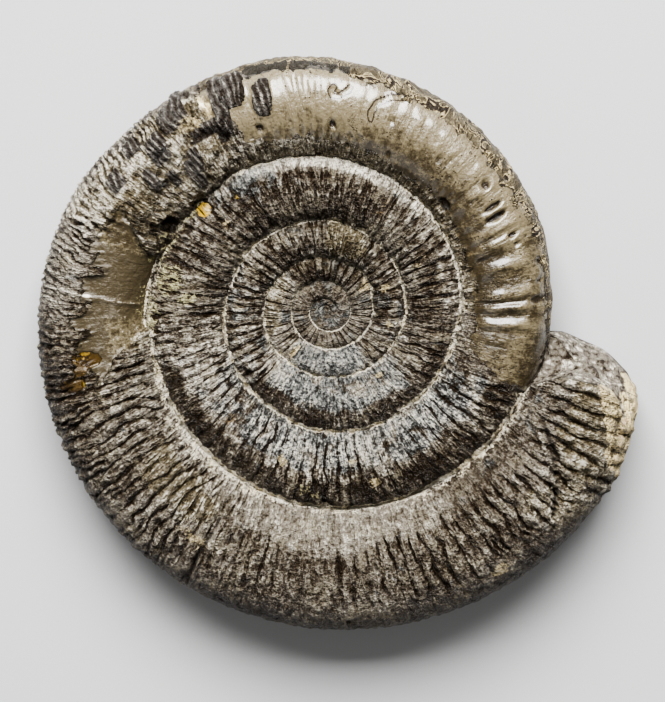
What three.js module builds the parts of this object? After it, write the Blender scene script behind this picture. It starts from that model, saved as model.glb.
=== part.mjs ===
// A ribbed, openly coiled ammonite turned to stone, lying on its side. It is one solid.
//
// The shell is a flat spiral. "Turn" counts its windings: one turn is a full circle round the coil's axis, the
// spiral opens anticlockwise seen from above, and a whole number of turns points along +X. A whorl is one turn
// of the tube. Each whorl rests on the one inside it along a seam, whose radius grows by a nearly constant ratio.
// The tube's section is an ellipse, cut by rings that stand on every rib's crest and every groove. Only the last
// whorl shows its outer edge: on the inner whorls the surface runs from seam to seam, on each side of the coil.
//
// Millimetres, +Z up. The origin is under the middle of the fossil's outline, on the surface it rests on.

import * as THREE from "three";

// Coil
const FIRST_TURN = -0.5; // where the modelled spiral starts, round a small central knob
const LAST_TURN = 4.987; // where the last whorl breaks off against the whorl inside it
const SEAM_RADIUS = 4.06; // radius of the seam at turn 0
const GROWTH = 0.645; // gain of the radius' logarithm per turn, at turn 0
const SLOWING = 0.0265; // how much that gain falls off with the square of the turn
const SEAM_SWELL = { turn: 3.72, width: 0.16, share: 0.02 }; // the seam bulges a little outwards here

// Tube
const THICKNESS_RATIO = 1.1; // the tube's thickness to its visible height
const SEAM_ANGLE = 30; // degrees from the outer edge up to the seam, round the section
const DORSAL_REACH = 0.95; // the inner seam lies this share of the half height inside the section's centre
const KNOB_RISE = 0.7; // height of the central knob, as a share of the seam's height beside it

// How much taller the tube is than the even spiral, by turn: the outer shell is kept on the last half turn
const SWELLING = [
  [4.1, 0],
  [4.2, -0.015],
  [4.24, 0.015],
  [4.275, 0.03],
  [4.31, 0.02],
  [4.35, 0.012],
  [4.38, 0.022],
  [4.42, 0.07],
  [4.45, 0.085],
  [4.6, 0.12],
  [4.75, 0.14],
  [4.86, 0.12],
  [4.92, 0.07],
  [4.95, -0.01],
  [4.987, -0.11],
];

// Ribs
const RIB_RATES = [ // how many ribs there are to a full turn, by turn
  [-3, 26],
  [0, 30],
  [1, 36],
  [1.5, 39],
  [2, 46],
  [2.5, 55],
  [3, 64],
  [3.5, 73],
  [3.9, 86],
  [4.2, 100],
  [4.4, 110],
  [4.5, 122],
  [4.7, 123],
  [5.1, 124],
];
const RIB_HEIGHT = 0.085; // crest to groove, as a share of the tube's half height
const FINE_FROM_TURN = 1.2; // further in the ribs are too small to be cut one by one
const POLISHED = { from: 3.94, to: 4.32, left: 0.2 }; // the stretch whose ribs are rubbed nearly smooth
const BARE = { from: 4.33, to: 4.525, left: 0.35, sunk: 0.1 }; // the stretch whose shell has come off the upper side

// Section: degrees round the tube of each ring's points, from the upper inner side over the outer edge and under
const SECTION = [115, 65, SEAM_ANGLE, 0, -SEAM_ANGLE, -65, -115];
const [UPPER_INNER, , UPPER_SEAM, EDGE, LOWER_SEAM, , LOWER_INNER] = SECTION.map((_, i) => i);
const BARE_SHARE = [1, 0.7, 0.15, 0, 0, 0, 0]; // how much of each section point's surface the bare stretch takes in

// Broken end: where each section point stops, in degrees short of +X, and where the bending back starts
const BREAK_SHORT_OF_X = [20, 17.5, 15.5, 13, 11.5, 9.5, 6];
const BREAK_FROM_TURN = 4.9;
const BREAK_BULGE = 0.012; // turns that the middle of the broken face stands beyond its rim

// Lying on its side
const REST_TILT = { aboutX: -0.83, aboutY: -0.52 }; // degrees that bring its three lowest places into one plane
const WORN = 0.85; // depth of the worn flat under the last whorl

const STONE = new THREE.MeshStandardMaterial({ color: 0x6b6052, roughness: 0.6, metalness: 0 });

const radians = THREE.MathUtils.degToRad;

// 0 outside a stretch of turns and 1 inside it, easing over a tenth of it at each end.
function inside(turn, { from, to }) {
  const ease = (to - from) / 10;
  return THREE.MathUtils.smoothstep(turn, from - ease, from + ease) *
    (1 - THREE.MathUtils.smoothstep(turn, to - ease, to + ease));
}

// Reads a list of [turn, value] pairs between its points.
function along(list, turn) {
  if (turn <= list[0][0]) return list[0][1];
  for (let i = 1; i < list.length; i++) {
    const [t0, v0] = list[i - 1];
    const [t1, v1] = list[i];
    if (turn <= t1) return THREE.MathUtils.mapLinear(turn, t0, t1, v0, v1);
  }
  return list.at(-1)[1];
}

function evenSeamRadius(turn) {
  return SEAM_RADIUS * Math.exp(GROWTH * turn - SLOWING * turn * turn);
}

function seamRadius(turn) {
  const { turn: middle, width, share } = SEAM_SWELL;
  return evenSeamRadius(turn) * (1 + share * Math.exp(-(((turn - middle) / width) ** 2)));
}

// The tube's section at a turn: its centre's radius, and its half sizes along the radius and along Z.
function tube(turn) {
  const swelling = along(SWELLING, turn);
  const height = evenSeamRadius(turn) - evenSeamRadius(turn - 1);
  const halfHeight = (height / (DORSAL_REACH + Math.cos(radians(SEAM_ANGLE)))) * (1 + swelling);
  return {
    centre: seamRadius(turn - 1) + DORSAL_REACH * halfHeight,
    halfHeight,
    halfThickness: (THICKNESS_RATIO * height / 2) * (1 + swelling / 2),
  };
}

// The ribs counted up to each turn of that list, then up to any turn, and the turn at which a count is reached.
const RIB_COUNTS = RIB_RATES.reduce((counts, [turn, rate], i) => {
  if (i === 0) return [[turn, 0]];
  const [lastTurn, lastRate] = RIB_RATES[i - 1];
  return [...counts, [turn, counts[i - 1][1] + ((turn - lastTurn) * (rate + lastRate)) / 2]];
}, []);
const ribsUpTo = (turn) => along(RIB_COUNTS, turn);
const turnOfRib = (count) => along(RIB_COUNTS.map(([turn, ribs]) => [ribs, turn]), count);

// A ring of section points at a turn. lift is 1 on a rib's crest, -1 in a groove and 0 on a smooth stretch.
function ring(turn, lift) {
  const { centre, halfHeight, halfThickness } = tube(turn);
  const polished = inside(turn, POLISHED) * (1 - POLISHED.left);
  const bend = Math.max(0, (turn - BREAK_FROM_TURN) / (LAST_TURN - BREAK_FROM_TURN));
  return SECTION.map((degrees, column) => {
    const bare = inside(turn, BARE) * BARE_SHARE[column];
    const kept = (1 - polished) * (1 - bare * (1 - BARE.left));
    const scale = 1 + (lift * kept * RIB_HEIGHT) / 2 - bare * BARE.sunk;
    const radius = centre + scale * halfHeight * Math.cos(radians(degrees));
    const brokenTurn = Math.ceil(LAST_TURN) - BREAK_SHORT_OF_X[column] / 360;
    const pointTurn = turn + bend * (brokenTurn - LAST_TURN);
    return point(pointTurn, radius, scale * halfThickness * Math.sin(radians(degrees)));
  });
}

const point = (turn, radius, z) =>
  new THREE.Vector3(radius * Math.cos(2 * Math.PI * turn), radius * Math.sin(2 * Math.PI * turn), z);

// The turn and lift of every ring: crest and groove of each rib, or one ring per rib where they aren't cut.
function ringPlaces() {
  const places = [];
  const ends = [FIRST_TURN, LAST_TURN - 1, LAST_TURN];
  for (let half = Math.ceil(2 * ribsUpTo(FIRST_TURN)); ; half++) {
    const turn = turnOfRib(half / 2);
    if (turn >= LAST_TURN) break;
    const coarse = turn < FINE_FROM_TURN || inside(turn, POLISHED) > 0.5;
    if (coarse && half % 2) continue;
    const ribWidth = 1 / along(RIB_RATES, turn);
    if (ends.some((end) => Math.abs(turn - end) < ribWidth / 4)) continue;
    places.push({ turn, lift: coarse ? 0 : half % 2 ? -1 : 1 });
  }
  ends.forEach((turn) => places.push({ turn, lift: 0 }));
  return places.sort((a, b) => a.turn - b.turn);
}

// Points and triangles of one closed surface.
class Surface {
  points = [];
  triangles = [];

  add(vector) {
    return this.points.push(vector) - 1;
  }

  // flipped turns the triangle round, for the lower side.
  triangle(a, b, c, flipped = false) {
    this.triangles.push(...(flipped ? [a, c, b] : [a, b, c]));
  }

  // Fills between two chains of {turn, index} that run the same way, always stepping along the one that is behind.
  weave(inner, outer, flipped) {
    let i = 0;
    let o = 0;
    while (i < inner.length - 1 || o < outer.length - 1) {
      const innerNext = i + 1 < inner.length ? inner[i + 1].turn : Infinity;
      const outerNext = o + 1 < outer.length ? outer[o + 1].turn : Infinity;
      if (innerNext < outerNext) {
        this.triangle(inner[i].index, outer[o].index, inner[i + 1].index, flipped);
        i++;
      } else {
        this.triangle(inner[i].index, outer[o].index, outer[o + 1].index, flipped);
        o++;
      }
    }
  }

  geometry() {
    const geometry = new THREE.BufferGeometry();
    geometry.setAttribute("position", new THREE.Float32BufferAttribute(this.points.flatMap((p) => p.toArray()), 3));
    geometry.setIndex(this.triangles);
    geometry.computeVertexNormals();
    return geometry;
  }
}

// The strips that run along the tube, between neighbouring section points. The outer edge is only there where
// no further whorl covers it.
function addStrips(surface, places, rings) {
  for (let i = 0; i + 1 < rings.length; i++) {
    const open = places[i].turn >= LAST_TURN - 1;
    for (let column = UPPER_INNER; column < LOWER_INNER; column++) {
      if (!open && column >= UPPER_SEAM && column < LOWER_SEAM) continue;
      const [a, b] = [rings[i][column], rings[i][column + 1]];
      const [c, d] = [rings[i + 1][column + 1], rings[i + 1][column]];
      surface.triangle(a, b, c);
      surface.triangle(a, c, d);
    }
  }
}

// One side's join of every whorl to the seam of the whorl inside it, and of the first whorl to the central knob.
function addSeam(surface, places, rings, seamColumn, innerColumn, flipped) {
  const knobHeight = surface.points[rings[0][seamColumn]].z * KNOB_RISE;
  const knob = surface.add(new THREE.Vector3(0, 0, knobHeight));
  const outer = places.map(({ turn }, i) => ({ turn, index: rings[i][innerColumn] }));
  const first = outer.findLastIndex(({ turn }) => turn <= FIRST_TURN + 1);
  for (let i = 0; i < first; i++) surface.triangle(knob, outer[i].index, outer[i + 1].index, flipped);

  const step = flipped ? -1 : 1; // from the inner column towards the seam's column
  const start = [];
  for (let column = seamColumn; column !== innerColumn - step; column -= step) start.push(rings[0][column]);
  start.push(knob);
  for (let i = 0; i + 1 < start.length; i++) surface.triangle(outer[first].index, start[i], start[i + 1], flipped);

  const seam = places
    .map(({ turn }, i) => ({ turn: turn + 1, index: rings[i][seamColumn] }))
    .filter(({ turn }) => turn <= LAST_TURN + 1e-9);
  surface.weave(seam, outer.slice(first), flipped);
}

// The broken face at the mouth: a fan from a point a little beyond it.
function addBreak(surface, places, rings) {
  const { centre } = tube(LAST_TURN);
  const middleTurn = Math.ceil(LAST_TURN) - BREAK_SHORT_OF_X[EDGE] / 360 + BREAK_BULGE;
  const middle = surface.add(point(middleTurn, centre, 0));
  const covered = rings[places.findIndex(({ turn }) => turn >= LAST_TURN - 1)];
  const rim = [...rings.at(-1), covered[LOWER_SEAM], covered[EDGE], covered[UPPER_SEAM]];
  rim.forEach((index, i) => surface.triangle(index, rim[(i + 1) % rim.length], middle));
}

// Lays the fossil down: tilts it on to its three lowest places, wears those flat and puts the origin under it.
function layDown(points) {
  const tilt = new THREE.Matrix4().makeRotationFromEuler(
    new THREE.Euler(radians(REST_TILT.aboutX), radians(REST_TILT.aboutY), 0),
  );
  points.forEach((p) => p.applyMatrix4(tilt));
  const floor = Math.min(...points.map((p) => p.z)) + WORN;
  points.forEach((p) => p.setZ(Math.max(p.z, floor)));
  const box = new THREE.Box3().setFromPoints(points);
  const middle = box.getCenter(new THREE.Vector3());
  points.forEach((p) => p.sub(new THREE.Vector3(middle.x, middle.y, floor)));
}

function ammonite() {
  const surface = new Surface();
  const places = ringPlaces();
  const rings = places.map(({ turn, lift }) => ring(turn, lift).map((p) => surface.add(p)));
  // The outer edge of a covered whorl isn't part of the surface, so its points are left out of the outline below.
  const covered = new Set(
    rings.filter((_, i) => places[i].turn < LAST_TURN - 1).map((indices) => indices[EDGE]),
  );
  addStrips(surface, places, rings);
  addSeam(surface, places, rings, UPPER_SEAM, UPPER_INNER, false);
  addSeam(surface, places, rings, LOWER_SEAM, LOWER_INNER, true);
  addBreak(surface, places, rings);
  layDown(surface.points.filter((_, i) => !covered.has(i)));
  const mesh = new THREE.Mesh(surface.geometry(), STONE);
  mesh.name = "ammonite";
  return mesh;
}

const fossil = new THREE.Group();
fossil.add(ammonite());

export default fossil;
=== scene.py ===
"""An ammonite turned to stone, lying on its side: its carved surface, its stone and a small studio round it.

"Turn" counts the windings of the shell: one turn is a full circle round the coil's axis, the spiral opens
anticlockwise seen from above, and a whole number of turns points along +X. "Section" is the angle round the
tube in degrees: 90 is the top of a whorl, 0 its outer edge and -90 its underside. "Across" is the way over a
whorl's side, from 0 at the seam inside it to 1 at its outer edge. All lengths are in metres.
"""

import itertools
import math
from collections import namedtuple

import bpy
import numpy as np
from bpy.props import FloatProperty, FloatVectorProperty, IntProperty, PointerProperty
from mathutils import Matrix, Vector


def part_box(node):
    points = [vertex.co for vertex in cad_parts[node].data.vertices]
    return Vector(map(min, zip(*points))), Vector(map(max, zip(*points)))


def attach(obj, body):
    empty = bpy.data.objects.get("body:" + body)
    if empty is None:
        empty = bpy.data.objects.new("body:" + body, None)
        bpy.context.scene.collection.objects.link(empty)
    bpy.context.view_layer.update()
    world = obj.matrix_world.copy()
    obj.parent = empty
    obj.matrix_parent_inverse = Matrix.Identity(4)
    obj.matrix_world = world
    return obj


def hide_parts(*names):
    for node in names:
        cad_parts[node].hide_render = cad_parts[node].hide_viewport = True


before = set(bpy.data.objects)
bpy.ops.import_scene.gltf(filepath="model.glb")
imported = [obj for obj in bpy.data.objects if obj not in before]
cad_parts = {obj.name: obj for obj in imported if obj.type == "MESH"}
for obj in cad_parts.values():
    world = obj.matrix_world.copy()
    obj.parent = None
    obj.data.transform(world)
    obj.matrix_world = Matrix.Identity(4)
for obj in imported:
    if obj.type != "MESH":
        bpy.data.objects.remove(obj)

bl_info = {
    "name": "Ammonite Fossil",
    "version": (1, 0, 0),
    "blender": (4, 5, 0),
    "location": "3D View > Sidebar > Fossil",
    "description": "Carves a ribbed ammonite fossil over its solid and lights it for a picture",
    "category": "Add Mesh",
}

NODE = "ammonite"
FRAME_LOW, FRAME_HIGH = (np.array(corner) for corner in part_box(NODE))
MM = 0.001
FULL = 2 * math.pi

# How much taller the tube is than the even spiral, as (turn, share)
SWELLING = (
    (4.1, 0), (4.2, -0.015), (4.24, 0.015), (4.275, 0.035), (4.31, 0.02), (4.35, 0.012), (4.38, 0.022), (4.42, 0.07),
    (4.45, 0.085), (4.6, 0.12), (4.75, 0.14), (4.86, 0.12), (4.92, 0.07), (4.95, -0.03), (4.987, -0.18),
)
# How many ribs there are to a full turn, as (turn, ribs)
RIB_RATES = (
    (-3.0, 26), (0.0, 30), (1.0, 36), (1.5, 39), (2.0, 46), (2.5, 55), (3.0, 64), (3.5, 73), (3.9, 86), (4.2, 100),
    (4.4, 110), (4.5, 122), (4.7, 123), (5.1, 124),
)
# How far the seam strays from the even spiral where crusts and wear have moved it, as (turn, share)
STRAYING = (
    (-0.35, 0.85), (-0.25, 0.9), (-0.15, 0.95), (-0.05, 1.0), (0.05, 1.0), (0.12, 1.06), (0.25, 1.09), (0.4, 1.06),
    (0.55, 0.97), (0.7, 0.93), (0.82, 0.935), (0.88, 0.97), (0.97, 1.0), (1.05, 1.015), (1.09, 1.065), (1.16, 1.07),
    (1.21, 1.015), (1.27, 1.035), (1.35, 1.013), (1.42, 1.0), (1.5, 0.985), (1.58, 0.975), (1.63, 0.93),
    (1.7, 0.909), (1.77, 0.91), (1.87, 0.932), (1.94, 0.94), (2.0, 0.972), (2.12, 0.98), (2.24, 1.0), (2.3, 0.975),
    (2.38, 0.975), (2.45, 0.94), (2.69, 0.952), (2.72, 0.987), (2.8, 0.992), (2.87, 0.977), (2.96, 0.972),
    (3.05, 0.988), (3.2, 1.005), (3.33, 1.022), (3.42, 1.005), (3.5, 1.01), (3.57, 0.988), (3.65, 0.993),
    (3.75, 1.01), (3.9, 1.003), (3.95, 1.0),
)
# How wide the pale powder lies along the seam inside a whorl, as (turn, millimetres)
SEAM_POWDER = (
    (0.4, 0.25), (1.5, 0.35), (2.5, 0.45), (3.05, 0.5), (3.2, 0.7), (3.35, 0.6), (3.5, 0.5), (3.9, 0.6), (3.97, 0.9),
    (4.05, 0.8), (4.12, 0.5), (4.3, 0.6), (4.34, 0.4), (4.42, 0.3), (4.5, 0.35), (4.53, 0.5), (4.55, 0.7), (4.565, 1.9), (4.62, 2.5),
    (4.68, 1.6), (4.72, 0.7), (4.8, 0.8), (4.9, 1.2), (4.96, 0.7),
)
# Where the broken end stops, as (section, degrees short of +X)
BREAK_LINE = (
    (-160, 5.5), (-115, 6), (-65, 9.5), (-30, 13), (0, 15.5), (10, 17), (25, 21), (40, 20), (55, 15.5), (82, 13.5),
    (115, 13.5), (140, 17), (161, 20),
)
# The spiral is meshed in stretches: its first turn, its rings in each rib, and its columns over the top and underneath
Stretch = namedtuple("Stretch", "start rings_per_rib top_columns lower_columns")
STRETCHES = (
    Stretch(-2.0, 0, 6, 4),
    Stretch(0.0, 8, 9, 5),
    Stretch(1.0, 9, 12, 6),
    Stretch(2.0, 10, 16, 8),
    Stretch(3.0, 9, 21, 10),
    Stretch(3.94, 8, 46, 16),
)
INNERMOST_RINGS = 130


# ---------------------------------------------------------------------------------------------------------
# Sizes and colours that can be changed
# ---------------------------------------------------------------------------------------------------------


class FossilShape(bpy.types.PropertyGroup):
    """The laws of the shell's spiral, tube and ribs."""

    seam_radius: FloatProperty(
        name="Seam radius", description="Radius of the seam between whorls at turn 0",
        default=4.06 * MM, unit="LENGTH", subtype="DISTANCE", precision=5)
    growth: FloatProperty(
        name="Growth", description="Gain of the seam radius' logarithm per turn, at turn 0", default=0.645)
    slowing: FloatProperty(
        name="Slowing", description="How much that gain falls off with the square of the turn",
        default=0.0265, precision=4)
    last_turn: FloatProperty(
        name="Last turn", description="Where the last whorl breaks off", default=4.987, precision=3)
    thickness_ratio: FloatProperty(
        name="Thickness ratio", description="The tube's thickness to its visible height", default=1.1)
    fullness: FloatProperty(
        name="Fullness", description="Exponent of the section's outline: 2 is an ellipse, more is squarer",
        default=2.25, min=2, max=4)
    flatness: FloatProperty(
        name="Flatness", description="Share of the ellipse's thickness that the whorl's flat sides leave",
        default=0.905, subtype="FACTOR", min=0.5, max=1)
    dorsal_reach: FloatProperty(
        name="Dorsal reach", description="The inner seam lies this share of the half height inside the centre",
        default=0.95, subtype="FACTOR")
    seam_angle: FloatProperty(
        name="Seam angle", description="Angle from a whorl's outer edge up to the seam of the next whorl",
        default=math.radians(30), unit="ROTATION", subtype="ANGLE")
    rib_height: FloatProperty(
        name="Rib height", description="Crest over the tube's even surface, as a share of its half height",
        default=0.0425, precision=4)
    rib_depth: FloatProperty(
        name="Rib depth", description="Crest to groove, as a share of the tube's half height", default=0.1)
    tilt_x: FloatProperty(
        name="Tilt about X", description="How the coil leans as it rests", default=math.radians(-0.83),
        unit="ROTATION", subtype="ANGLE")
    tilt_y: FloatProperty(
        name="Tilt about Y", description="How the coil leans as it rests", default=math.radians(-0.52),
        unit="ROTATION", subtype="ANGLE")
    seed: IntProperty(name="Seed", description="Start of the fixed random wear", default=11)


class StoneColours(bpy.types.PropertyGroup):
    """The colours of the stone and of what has settled on it."""

    # Near-black; in the grooves it is partly dirt and partly painted shade, and it is also the dark floor of pits,
    # cracks and spar
    groove: FloatVectorProperty(
        name="Groove", description="Dirt in the deepest grooves", subtype="COLOR", default=(0.025, 0.0145, 0.0065))
    umber: FloatVectorProperty(
        name="Umber", description="Stone on the ribs' slopes", subtype="COLOR", default=(0.078, 0.059, 0.039))
    stone: FloatVectorProperty(
        name="Stone", description="Stone on worn ribs", subtype="COLOR", default=(0.25, 0.221, 0.176))
    # Pale powder; on crests and on slopes that the tone field lightens it is partly a painted highlight
    chalk: FloatVectorProperty(
        name="Chalk", description="Pale powder on crests and seams", subtype="COLOR", default=(0.88, 0.82, 0.69))
    slate: FloatVectorProperty(
        name="Slate", description="Dark grey plates of kept shell", subtype="COLOR", default=(0.065, 0.068, 0.066))
    scale: FloatVectorProperty(
        name="Scale", description="Folded plates of kept shell", subtype="COLOR", default=(0.115, 0.103, 0.09))
    frost: FloatVectorProperty(
        name="Frost", description="Blue-grey crystals by the inner seams", subtype="COLOR",
        default=(0.28, 0.274, 0.248))
    honey: FloatVectorProperty(
        name="Honey", description="Light part of the polished mould", subtype="COLOR", default=(0.19, 0.156, 0.094))
    olive: FloatVectorProperty(
        name="Olive", description="Dark part of the polished mould", subtype="COLOR", default=(0.046, 0.033, 0.015))
    bare: FloatVectorProperty(
        name="Bare matrix", description="Where the shell has come off", subtype="COLOR", default=(0.074, 0.058, 0.033))
    amber: FloatVectorProperty(
        name="Amber", description="Amber-coloured spar", subtype="COLOR", default=(0.066, 0.039, 0.01))
    sulphur: FloatVectorProperty(
        name="Sulphur", description="Yellow spar", subtype="COLOR", default=(0.55, 0.36, 0.06))
    lichen: FloatVectorProperty(
        name="Lichen", description="Pale lime growth along a seam", subtype="COLOR", default=(0.50, 0.46, 0.25))
    cream: FloatVectorProperty(
        name="Cream", description="Crust at the mouth and along the rim", subtype="COLOR", default=(0.78, 0.64, 0.37))
    rose: FloatVectorProperty(
        name="Rose", description="Rusty stains in the crust", subtype="COLOR", default=(0.4, 0.19, 0.085))


class StudioSettings(bpy.types.PropertyGroup):
    """The floor, the lights and the camera."""

    floor: FloatVectorProperty(
        name="Floor", description="Colour of the floor", subtype="COLOR", default=(0.52, 0.52, 0.52))
    key_power: FloatProperty(
        name="Key light", description="Power of the large light beyond the fossil", default=32.0, unit="POWER")
    fill_power: FloatProperty(
        name="Fill light", description="Power of the light on the near side", default=1.2, unit="POWER")
    sky: FloatProperty(name="Sky", description="Strength of the even light all round", default=0.18)
    distance: FloatProperty(
        name="Camera distance", description="From the camera to the coil's middle", default=430 * MM,
        unit="LENGTH", subtype="DISTANCE")
    picture_height: FloatProperty(
        name="Picture height", description="Height that the picture takes in at the coil's middle",
        default=112.9 * MM, unit="LENGTH", subtype="DISTANCE")
    lean_y: FloatProperty(
        name="Lean towards +Y", description="How far the camera leans from straight above", default=math.radians(9.8),
        unit="ROTATION", subtype="ANGLE")
    lean_x: FloatProperty(
        name="Lean towards +X", description="How far the camera leans from straight above", default=math.radians(1.5),
        unit="ROTATION", subtype="ANGLE")


# ---------------------------------------------------------------------------------------------------------
# Curves, steps and fixed random fields
# ---------------------------------------------------------------------------------------------------------


def smooth(value, low, high):
    """0 at low, 1 at high and an even S between them; low may lie above high."""
    share = np.clip((value - low) / (high - low), 0.0, 1.0)
    return share * share * (3.0 - 2.0 * share)


def stretch(value, start, end, soft):
    """1 between start and end, falling to 0 over the width soft on each side."""
    return smooth(value, start - soft, start + soft) * (1.0 - smooth(value, end - soft, end + soft))


def listed(value, pairs):
    """Reads a list of (place, number) pairs at value, in straight lines between its places."""
    places, numbers = zip(*pairs)
    return np.interp(value, places, numbers)


def scatter(cell, seed):
    """A fixed number from 0 to 1 for each cell of three whole numbers, which are multiplied by large primes and
    mixed by shifts within 32 bits."""
    mixed = cell[..., 0] * 73856093 ^ cell[..., 1] * 19349663 ^ cell[..., 2] * 83492791 ^ seed * 668265263
    mixed &= 0xFFFFFFFF
    mixed = (mixed ^ mixed >> 15) * 2246822519 & 0xFFFFFFFF
    mixed = (mixed ^ mixed >> 13) * 3266489917 & 0xFFFFFFFF
    return (mixed ^ mixed >> 16) / 0xFFFFFFFF


def noise(points, size, seed):
    """A smooth field from -1 to 1: the numbers of the eight lattice corners round a point, blended by an S along
    each axis."""
    place = points / size
    cell = np.floor(place).astype(np.int64)
    part = place - cell
    part = part * part * (3.0 - 2.0 * part)
    total = 0.0
    for corner in itertools.product((0, 1), repeat=3):
        total = total + np.prod(np.where(corner, part, 1.0 - part), axis=-1) * scatter(cell + corner, seed)
    return 2.0 * total - 1.0


def fractal(points, size, seed, octaves=4):
    """Layers of noise, each half as large and half as strong as the one before, brought back to -1 to 1."""
    layers = [noise(points, size / 2**k, seed + k) / 2**k for k in range(octaves)]
    return sum(layers) / (2.0 - 2.0 ** (1 - octaves))


def ridged(points, size, seed, octaves=3):
    """Sharp crests from 0 to 1: 1 less the size of a fractal field, squared."""
    return (1.0 - np.abs(fractal(points, size, seed, octaves))) ** 2


def cells(points, size, seed):
    """Distance from each point to the nearest of a lattice's jittered points, in lattice sizes."""
    place = points / size
    cell = np.floor(place).astype(np.int64)
    nearest = np.full(place.shape[:-1], 9.0)
    for step in itertools.product((-1, 0, 1), repeat=3):
        near = cell + step
        jitter = np.stack([scatter(near, seed + k) for k in range(3)], axis=-1)
        nearest = np.minimum(nearest, np.linalg.norm(near + jitter - place, axis=-1))
    return nearest


# ---------------------------------------------------------------------------------------------------------
# The coil
# ---------------------------------------------------------------------------------------------------------


class Coil:
    """The spiral law of the shell, as functions of whole arrays of turns."""

    def __init__(self, shape):
        self.shape = shape
        self.cos_seam = math.cos(shape.seam_angle)
        turns = np.linspace(STRETCHES[0].start - 1, shape.last_turn + 0.1, 2000)
        centre, _, _ = self.tube(turns)
        steps = np.diff(turns) * FULL * (centre[1:] + centre[:-1]) / 2
        rates = listed(turns, RIB_RATES)
        ribs = np.concatenate([[0.0], np.cumsum(np.diff(turns) * (rates[1:] + rates[:-1]) / 2)])
        self.turns, self.lengths = turns, np.concatenate([[0.0], np.cumsum(steps)])
        self.rib_counts = ribs - np.interp(0.0, turns, ribs)
        self.sections = np.linspace(180.0, -180.0, 721)
        x, z = self.outline(self.sections)
        self.arcs = np.concatenate([[0.0], np.cumsum(np.hypot(np.diff(x), np.diff(z)))])

    def even_seam(self, turn):
        """Seam radius of the even spiral: its logarithm rises with the turn, and ever less so."""
        shape = self.shape
        return shape.seam_radius * np.exp(shape.growth * turn - shape.slowing * turn * turn)

    def seam(self, turn):
        """Seam radius as it is found: the even spiral's, times how far it strays there."""
        return self.even_seam(turn) * listed(turn, STRAYING)

    def tube(self, turn):
        """Radius of the section's centre, its half height along the radius and its half thickness along Z. The
        even tube fills the space between two seams, swells where SWELLING says and bulges a little near turn
        4.7; where a seam strays, the tube's edge on that side goes with it."""
        reach = self.shape.dorsal_reach
        whole = (1.0 + reach) / (self.cos_seam + reach)
        swelling = listed(turn, SWELLING)
        height = self.even_seam(turn) - self.even_seam(turn - 1)
        bulge = 0.02 * np.exp(-(((turn - 4.72) / 0.16) ** 2))
        outer = self.even_seam(turn - 1) * (1.0 + bulge) + height * whole * (1.0 + swelling)
        outer = outer + (self.seam(turn) - self.even_seam(turn)) * whole
        half_height = (outer - self.seam(turn - 1)) / (1.0 + reach)
        half_thickness = self.shape.thickness_ratio * height / 2 * (1.0 + swelling / 2) * self.shape.flatness
        return outer - half_height, half_height, half_thickness

    def ribs(self, turn):
        """Ribs counted from turn 0: the sum of the ribs to a turn along the way."""
        return np.interp(turn, self.turns, self.rib_counts)

    def turn_at(self, count):
        """The turn at which that many ribs have been counted."""
        return np.interp(count, self.rib_counts, self.turns)

    def outline(self, section):
        """The section's outline for a half size of 1: cosine and sine, each drawn out to a power, so that the
        sides are flatter than an ellipse's."""
        angle = np.radians(section)
        power = 2.0 / self.shape.fullness
        return (
            np.sign(np.cos(angle)) * np.abs(np.cos(angle)) ** power,
            np.sign(np.sin(angle)) * np.abs(np.sin(angle)) ** power,
        )

    def arc(self, section):
        """Length of that outline from its innermost point, over the top, to a section."""
        return np.interp(-section, -self.sections, self.arcs)

    def section_at(self, share):
        """The section angle in degrees at which the outline stands at this share of the half height."""
        return math.degrees(math.acos(math.copysign(abs(share) ** (self.shape.fullness / 2), share)))

    def along(self, turn):
        """Length along the middle of the tube up to a turn."""
        return np.interp(turn, self.turns, self.lengths)

    def point(self, turn, section, lift):
        """A point of the surface: the section's outline, pushed out from the section's centre by lift, carried
        round the coil's axis by the turn."""
        centre, half_height, half_thickness = self.tube(turn)
        x, z = self.outline(section)
        x, z = x * half_height, z * half_thickness
        reach = 1.0 + lift / np.hypot(x, z)
        radius = centre + x * reach
        return np.stack([radius * np.cos(FULL * turn), radius * np.sin(FULL * turn), z * reach], axis=-1)


class Skin:
    """Points and triangles of the fossil's one closed surface, before they are pushed in and out."""

    def __init__(self):
        self.turn, self.section, self.triangles, self.knobs, self.count = [], [], [], [], 0

    def grid(self, turn, section):
        """Adds a grid of points, with its rings along the first axis, and joins them by two triangles a square."""
        turn, section = np.broadcast_arrays(turn, section)
        index = self.count + np.arange(turn.size).reshape(turn.shape)
        self.turn.append(turn.ravel())
        self.section.append(section.ravel())
        self.count += turn.size
        a, b, c, d = index[:-1, :-1], index[:-1, 1:], index[1:, 1:], index[1:, :-1]
        self.join(a, b, c)
        self.join(a, c, d)
        return index

    def join(self, a, b, c, turned=False):
        """Adds triangles from three arrays of points; turned makes them face the other way."""
        corners = (a, c, b) if turned else (a, b, c)
        self.triangles.append(np.stack([np.ravel(corner) for corner in np.broadcast_arrays(*corners)], axis=-1))

    def zip(self, first, first_place, second, second_place, turned=False):
        """Joins two chains of points that run side by side. All points but the first of each chain are put in
        order of their place along it; each one closes a triangle with the point before it in its own chain and
        the point that the other chain has reached."""
        place = np.concatenate([first_place[1:], second_place[1:]])
        on_first = np.concatenate([np.ones(len(first) - 1, bool), np.zeros(len(second) - 1, bool)])
        on_first = on_first[np.argsort(place, kind="stable")]
        reached_first = np.cumsum(on_first)
        reached_second = np.cumsum(~on_first)
        now_first, now_second = first[reached_first], second[reached_second]
        before = np.where(on_first, first[reached_first - on_first], second[reached_second - ~on_first])
        a = np.where(on_first, before, now_first)
        b = np.where(on_first, now_second, before)
        c = np.where(on_first, now_first, now_second)
        self.join(a, b, c, turned)


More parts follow.
